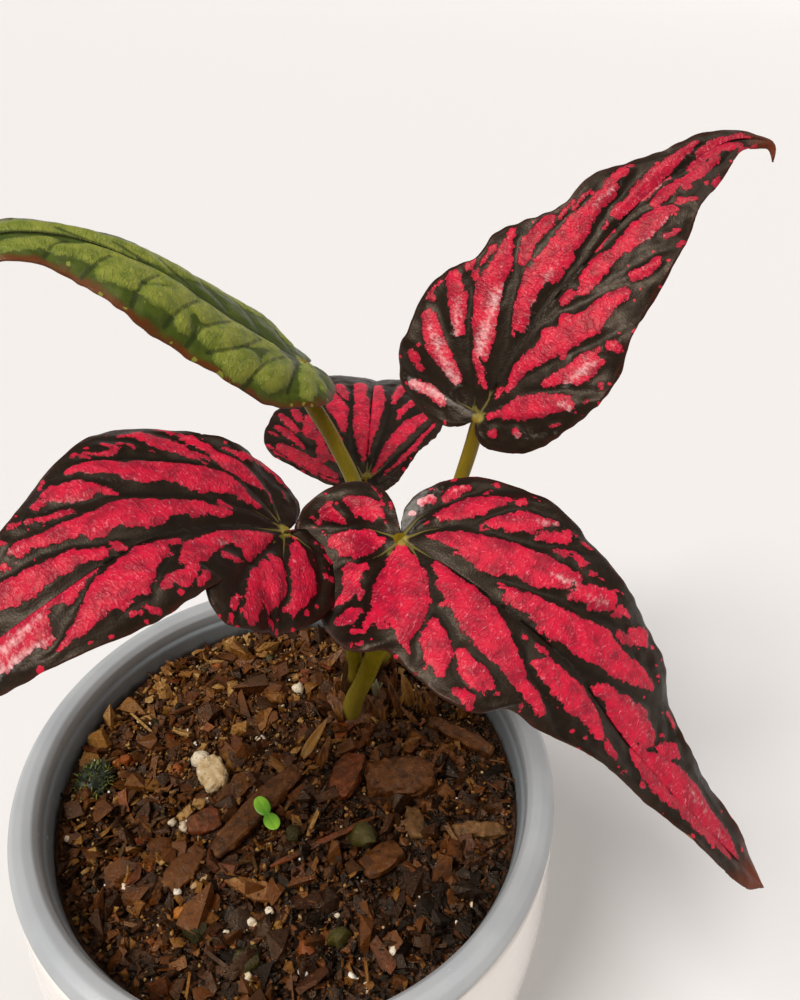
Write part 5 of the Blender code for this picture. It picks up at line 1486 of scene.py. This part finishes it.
def chip_shape(name, chip):
    """The weathered block of the solids, split finer and roughened"""
    dice = random.Random(name)
    bm = bmesh.new()
    bmesh.ops.create_cube(bm, size=1)
    long_edges = [e for e in bm.edges if abs((e.verts[0].co - e.verts[1].co).x) > 0.5]
    bmesh.ops.subdivide_edges(bm, edges=long_edges, cuts=2)
    for vert in bm.verts:
        end = 1 - 0.5 * max(0, abs(vert.co.x) * 2 - 0.4)
        vert.co.y *= end * dice.uniform(0.75, 1.05)
        vert.co.z *= end * dice.uniform(0.8, 1.0)
        vert.co.x *= dice.uniform(0.88, 1.0)
    bmesh.ops.scale(bm, vec=chip.size, verts=bm.verts)
    bmesh.ops.bevel(bm, geom=bm.edges[:], offset=min(chip.size) * 0.12, offset_type="OFFSET",
                    segments=1, profile=0.5, affect="EDGES", material=-1, clamp_overlap=True)
    for _ in range(3):
        longest = [e for e in bm.edges if e.calc_length() > 0.8]
        bmesh.ops.subdivide_edges(bm, edges=longest, cuts=1, use_grid_fill=True, smooth=0.15)
    layer = bm.verts.layers.float.new("tone")
    bm.normal_update()
    offset = Vector((dice.random() * 40, dice.random() * 40, 0))
    rough = min(1.1, min(chip.size) * 0.2)
    for vert in bm.verts:
        along = Vector((vert.co.x / 3.5, vert.co.y / 0.9, vert.co.z / 0.9))
        fibre = noise.fractal(along + offset, 0.9, 2.1, 3)
        pit = noise.noise(vert.co / 1.7 + offset)
        vert[layer] = 0.45 + 0.5 * pit
        vert.co += vert.normal * rough * (0.55 * fibre + 0.4 * pit)
    turn = Matrix.Rotation(math.radians(chip.turn), 4, "Z")
    tilt = Matrix.Rotation(math.radians(chip.tilt), 4, "X")
    bmesh.ops.transform(bm, matrix=Matrix.Translation(chip.place) @ turn @ tilt, verts=bm.verts)
    bmesh.ops.triangulate(bm, faces=bm.faces)
    return bm


def build_laid(kinds):
    """Slivers on the mix, each between its two pixels of the photograph"""
    for kind, slivers in LAID.items():
        bm = bmesh.new()
        layer = bm.verts.layers.float.new("tone")
        for sliver in slivers:
            start, end = (pixel_place(*pixel, 2, SOIL_TOP) for pixel in (sliver.start, sliver.end))
            along = end - start
            side = Vector((-along.y, along.x, 0)).normalized()
            made = bmesh.ops.create_cube(bm, size=1)["verts"]
            edges = list({edge for vert in made for edge in vert.link_edges})
            bmesh.ops.subdivide_edges(bm, edges=edges, cuts=5, use_grid_fill=True)
            for vert in [vert for vert in bm.verts if vert[layer] == 0]:
                u, across = vert.co.x + 0.5, vert.co.y
                half = sliver.width * (0.35 + 0.65 * math.sin(math.pi * (0.1 + 0.8 * u)))
                place = start + along * u + side * across * half
                rough = noise.noise(place / 1.6)
                thick = min(2.2, 0.45 * sliver.width) * (0.7 + 0.6 * rough)
                place.z = soil_height(place.x, place.y) + 0.9 + vert.co.z * thick + 0.5 * rough
                vert.co = place + side * rough * 0.25 * sliver.width
                vert[layer] = max(0.01, sliver.tone + 0.3 * rough)
        finish("laid_" + kind, bm, [kinds[kind]], smooth=35)


def build_chips(kinds):
    slots = {part["node"]: part["material_slot"] for part in frame["record"]["subparts"]}
    for name, chip in CHIPS.items():
        slot = slots[name]
        finish("piece_" + name, chip_shape(name, chip), [kinds[slot]], [name], smooth=40)


def build_crown(mat):
    """Woody foot of the plant"""
    bm = bmesh.new()
    layer = bm.verts.layers.float.new("tone")
    bmesh.ops.create_icosphere(bm, subdivisions=4, radius=1)
    for vert in bm.verts:
        vert[layer] = 0.1
        vert.co *= 1 + 0.14 * noise.fractal(vert.co * 2.2, 0.9, 2.1, 3)
    bmesh.ops.scale(bm, vec=CROWN_RADII, verts=bm.verts)
    bmesh.ops.translate(bm, vec=CROWN_CENTRE, verts=bm.verts)
    return finish("crown_wood", bm, [mat], ["crown"], smooth=180)


def build_sheaths(mat):
    """Dry, papery sheaths round the feet of the stalks, and the stipules between them"""
    dice = random.Random(SEED)
    bm = bmesh.new()
    layer = bm.verts.layers.float.new("tone")
    for leaf in LEAVES.values():
        x, y = leaf.petiole[0]
        radius = leaf.stalk[0]
        for turn in SHEATH_TURNS:
            angle = turn + dice.uniform(-0.4, 0.4)
            tall, wide = dice.uniform(3, 7), dice.uniform(1.2, 2.2)
            lean = math.radians(dice.uniform(6, 34))
            tone = dice.random()
            curl = dice.uniform(0.2, 1.6)
            sheet = bmesh.ops.create_grid(bm, x_segments=6, y_segments=12, size=0.5)["verts"]
            for vert in sheet:
                across, up = vert.co.x * 2, vert.co.y + 0.5
                half = wide * math.sin(math.pi * min(1, 0.30 + 0.70 * up)) ** 0.7
                bend = across * half / (radius + 0.6)
                out = radius + 0.45 + up * tall * math.sin(lean) + curl * up ** 3
                vert.co = (x + math.cos(angle + bend) * out, y + math.sin(angle + bend) * out,
                           SHEATH_FOOT + up * tall * math.cos(lean))
                vert[layer] = tone
    for stipule in STIPULES:
        foot = pixel_place(*stipule.start, 2, SOIL_TOP + 0.6)
        top = pixel_place(*stipule.end, 1, foot.y + 1.5)
        along = top - foot
        side = along.cross(Vector(EYE) - foot).normalized()
        front = side.cross(along).normalized()
        sag, twist = dice.uniform(0.4, 1.8), dice.uniform(-0.5, 0.5)
        sheet = bmesh.ops.create_grid(bm, x_segments=4, y_segments=14, size=0.5)["verts"]
        for vert in sheet:
            across, up = vert.co.x * 2, vert.co.y + 0.5
            half = stipule.width / 2 * math.sin(math.pi * (0.06 + 0.92 * up)) ** 0.8
            bow = sag * math.sin(math.pi * up) + half * (0.4 * abs(across) + twist * across)
            vert.co = foot + along * up + side * across * half + front * bow
            vert.co.z -= 1.2 * (1 - up)
            vert[layer] = stipule.tone
    bmesh.ops.remove_doubles(bm, verts=bm.verts, dist=0.01)
    return finish("crown_sheaths", bm, [mat], smooth=180,
                  modifiers=[("SOLIDIFY", {"thickness": 0.25 * MM, "offset": 0})])


def build_moss():
    """Small tuft of moss: short leafy shoots, standing close together on a dome"""
    mat = small_green("dark_cushion_moss", "#1c240e", "#868c34", 0.6)
    dice = random.Random(SEED)
    shoot = bmesh.new()
    bmesh.ops.create_cone(shoot, cap_ends=True, segments=5, radius1=0.28, radius2=0.04, depth=1.6,
                          matrix=Matrix.Translation((0, 0, 0.6)))
    dome = bmesh.new()
    layer = dome.verts.layers.float.new("tone")
    bmesh.ops.create_icosphere(dome, subdivisions=4, radius=1)
    for vert in dome.verts:
        vert.co *= 0.9 + 0.2 * noise.noise(vert.co * 3.3)
    bmesh.ops.scale(dome, vec=MOSS_RADII, verts=dome.verts)
    bmesh.ops.translate(dome, vec=MOSS_PLACE, verts=dome.verts)
    dome.normal_update()
    shoots = []
    for vert in dome.verts:
        vert[layer] = 0.1
        inside = math.hypot(vert.co.x, vert.co.y) < SOIL_REACH - 0.4
        if inside and vert.co.z > SOIL_TOP and dice.random() < 0.6:
            stray = Vector([dice.uniform(-0.6, 0.6) for _ in range(3)])
            turn = Vector((0, 0, 1)).rotation_difference((vert.normal + stray).normalized())
            size = dice.uniform(0.7, 1.2)
            shoots.append(Crumb(vert.co.copy(), turn, [size, size, size], dice.random() ** 2))
    finish("moss_cushion", dome, [mat], ["moss_tuft"], smooth=180)
    return scatter("moss_shoots", [shoot], shoots, mat)


def build_seedling():
    """Seedling with two round seed leaves on a short stem"""
    mat = small_green("fresh_green_seed_leaf", "#568c12", "#8cc034", 0.35)
    x, y = SEEDLING_FOOT
    top = soil_height(x, y) + SEEDLING_HEIGHT
    bm = bmesh.new()
    layer = bm.verts.layers.float.new("tone")
    tube(bm, [(x, y, top - 7.6), (x, y, top - 3), (x, y, top)], [0.6, 0.55, 0.5], 12)
    for turn in SEED_LEAF_TURNS:
        made = bmesh.ops.create_icosphere(bm, subdivisions=4, radius=1)["verts"]
        for vert in made:
            cup = 0.25 * (vert.co.x ** 2 + vert.co.y ** 2)
            groove = 0.3 * math.exp(-(vert.co.y * 6) ** 2) if vert.co.z > 0 else 0
            vert[layer] = 0.5 + 0.5 * vert.co.x
            vert.co.z += cup - groove
        bmesh.ops.scale(bm, vec=SEED_LEAF_RADII, verts=made)
        bmesh.ops.translate(bm, vec=(2.7, 0, 0), verts=made)
        lean = Matrix.Rotation(math.radians(-8), 4, "Y")
        spin = Matrix.Rotation(math.radians(turn), 4, "Z")
        stand = Matrix.Translation((x, y, top - 0.2)) @ spin @ lean
        bmesh.ops.transform(bm, matrix=stand, verts=made)
    bmesh.ops.recalc_face_normals(bm, faces=bm.faces)
    return finish("young_seedling", bm, [mat], ["seedling"], smooth=60)


# Stage

def build_stage():
    mat = new_material("plain_pale_floor")
    skin = add_node(mat, SURFACE, {"Base Color": colour("#dedad7"), "Roughness": 0.95,
                                   "Specular IOR Level": 0.2})
    add_node(mat, OUTPUT, {"Surface": skin[0]})
    bm = bmesh.new()
    points = [bm.verts.new((radius, 0, height)) for radius, height in FLOOR_PROFILE]
    edges = [bm.edges.new(pair) for pair in zip(points, points[1:])]
    bmesh.ops.spin(bm, geom=points + edges, cent=(0, 0, 0), axis=(0, 0, 1), angle=math.tau,
                   steps=96, use_merge=True)
    bmesh.ops.remove_doubles(bm, verts=bm.verts, dist=0.0001)
    bmesh.ops.recalc_face_normals(bm, faces=bm.faces)
    mesh = bpy.data.meshes.new("floor")
    bm.to_mesh(mesh)
    bm.free()
    mesh.shade_smooth()
    mesh.materials.append(mat)
    floor = bpy.data.objects.new("floor", mesh)
    bpy.context.scene.collection.objects.link(floor)


def add_light(name, kind, heading, power, **settings):
    """Lamp that shines from a heading towards the plant, from as far away as the heading is long"""
    data = bpy.data.lights.new(name, kind)
    data.energy = power
    for key, value in settings.items():
        setattr(data, key, value)
    light = bpy.data.objects.new(name, data)
    bpy.context.scene.collection.objects.link(light)
    light.location = Vector(heading) + Vector((0, 0, 0.15))
    light.rotation_euler = Vector(heading).to_track_quat("Z", "Y").to_euler()


def build_lights():
    world = bpy.data.worlds.new("studio")
    bpy.context.scene.world = world
    world.use_nodes = True
    background = world.node_tree.nodes["Background"]
    background.inputs["Color"].default_value = colour("#f6f3f0")
    background.inputs["Strength"].default_value = 0.25
    add_light("window", "SUN", (-0.46, -0.36, 0.81), 2.9, angle=math.radians(24))
    add_light("ceiling_panel", "SUN", (0.27, 0.05, 0.96), 0.75, angle=math.radians(30))
    bpy.context.scene.view_settings.view_transform = "Standard"


def main():
    make_camera()
    red = [leaf_upper("waxy_red_begonia_leaf", CRIMSON, veined=0.45, lined=0.0, spread=0.12,
                      margin=1.4),
           leaf_under("soft_maroon_leaf_underside", "#6d2532", "#561a26", "#7f5a3a")]
    green = [leaf_upper("waxy_green_begonia_leaf", LEAFY, veined=0.0, lined=0.7, spread=0.9,
                        margin=2.2),
             leaf_under("soft_green_leaf_underside", "#7d6f4c", "#6b5a3c", "#8c6a4a")]
    stalk = petiole_skin()
    for name in LEAVES:
        is_green = name == "green"
        build_blade(name, green if is_green else red)
        build_petiole(name, stalk)
    build_outer_pot()
    build_liner()
    kinds = {kind: mix_material(*facts) for kind, facts in MIX_KINDS.items()}
    build_mix(kinds["mix"])
    build_chips(kinds)
    build_crumbs(kinds)
    build_laid(kinds)
    paper = papery_sheath()
    build_crown(paper)
    build_sheaths(paper)
    build_moss()
    build_seedling()
    build_stage()
    build_lights()


main()
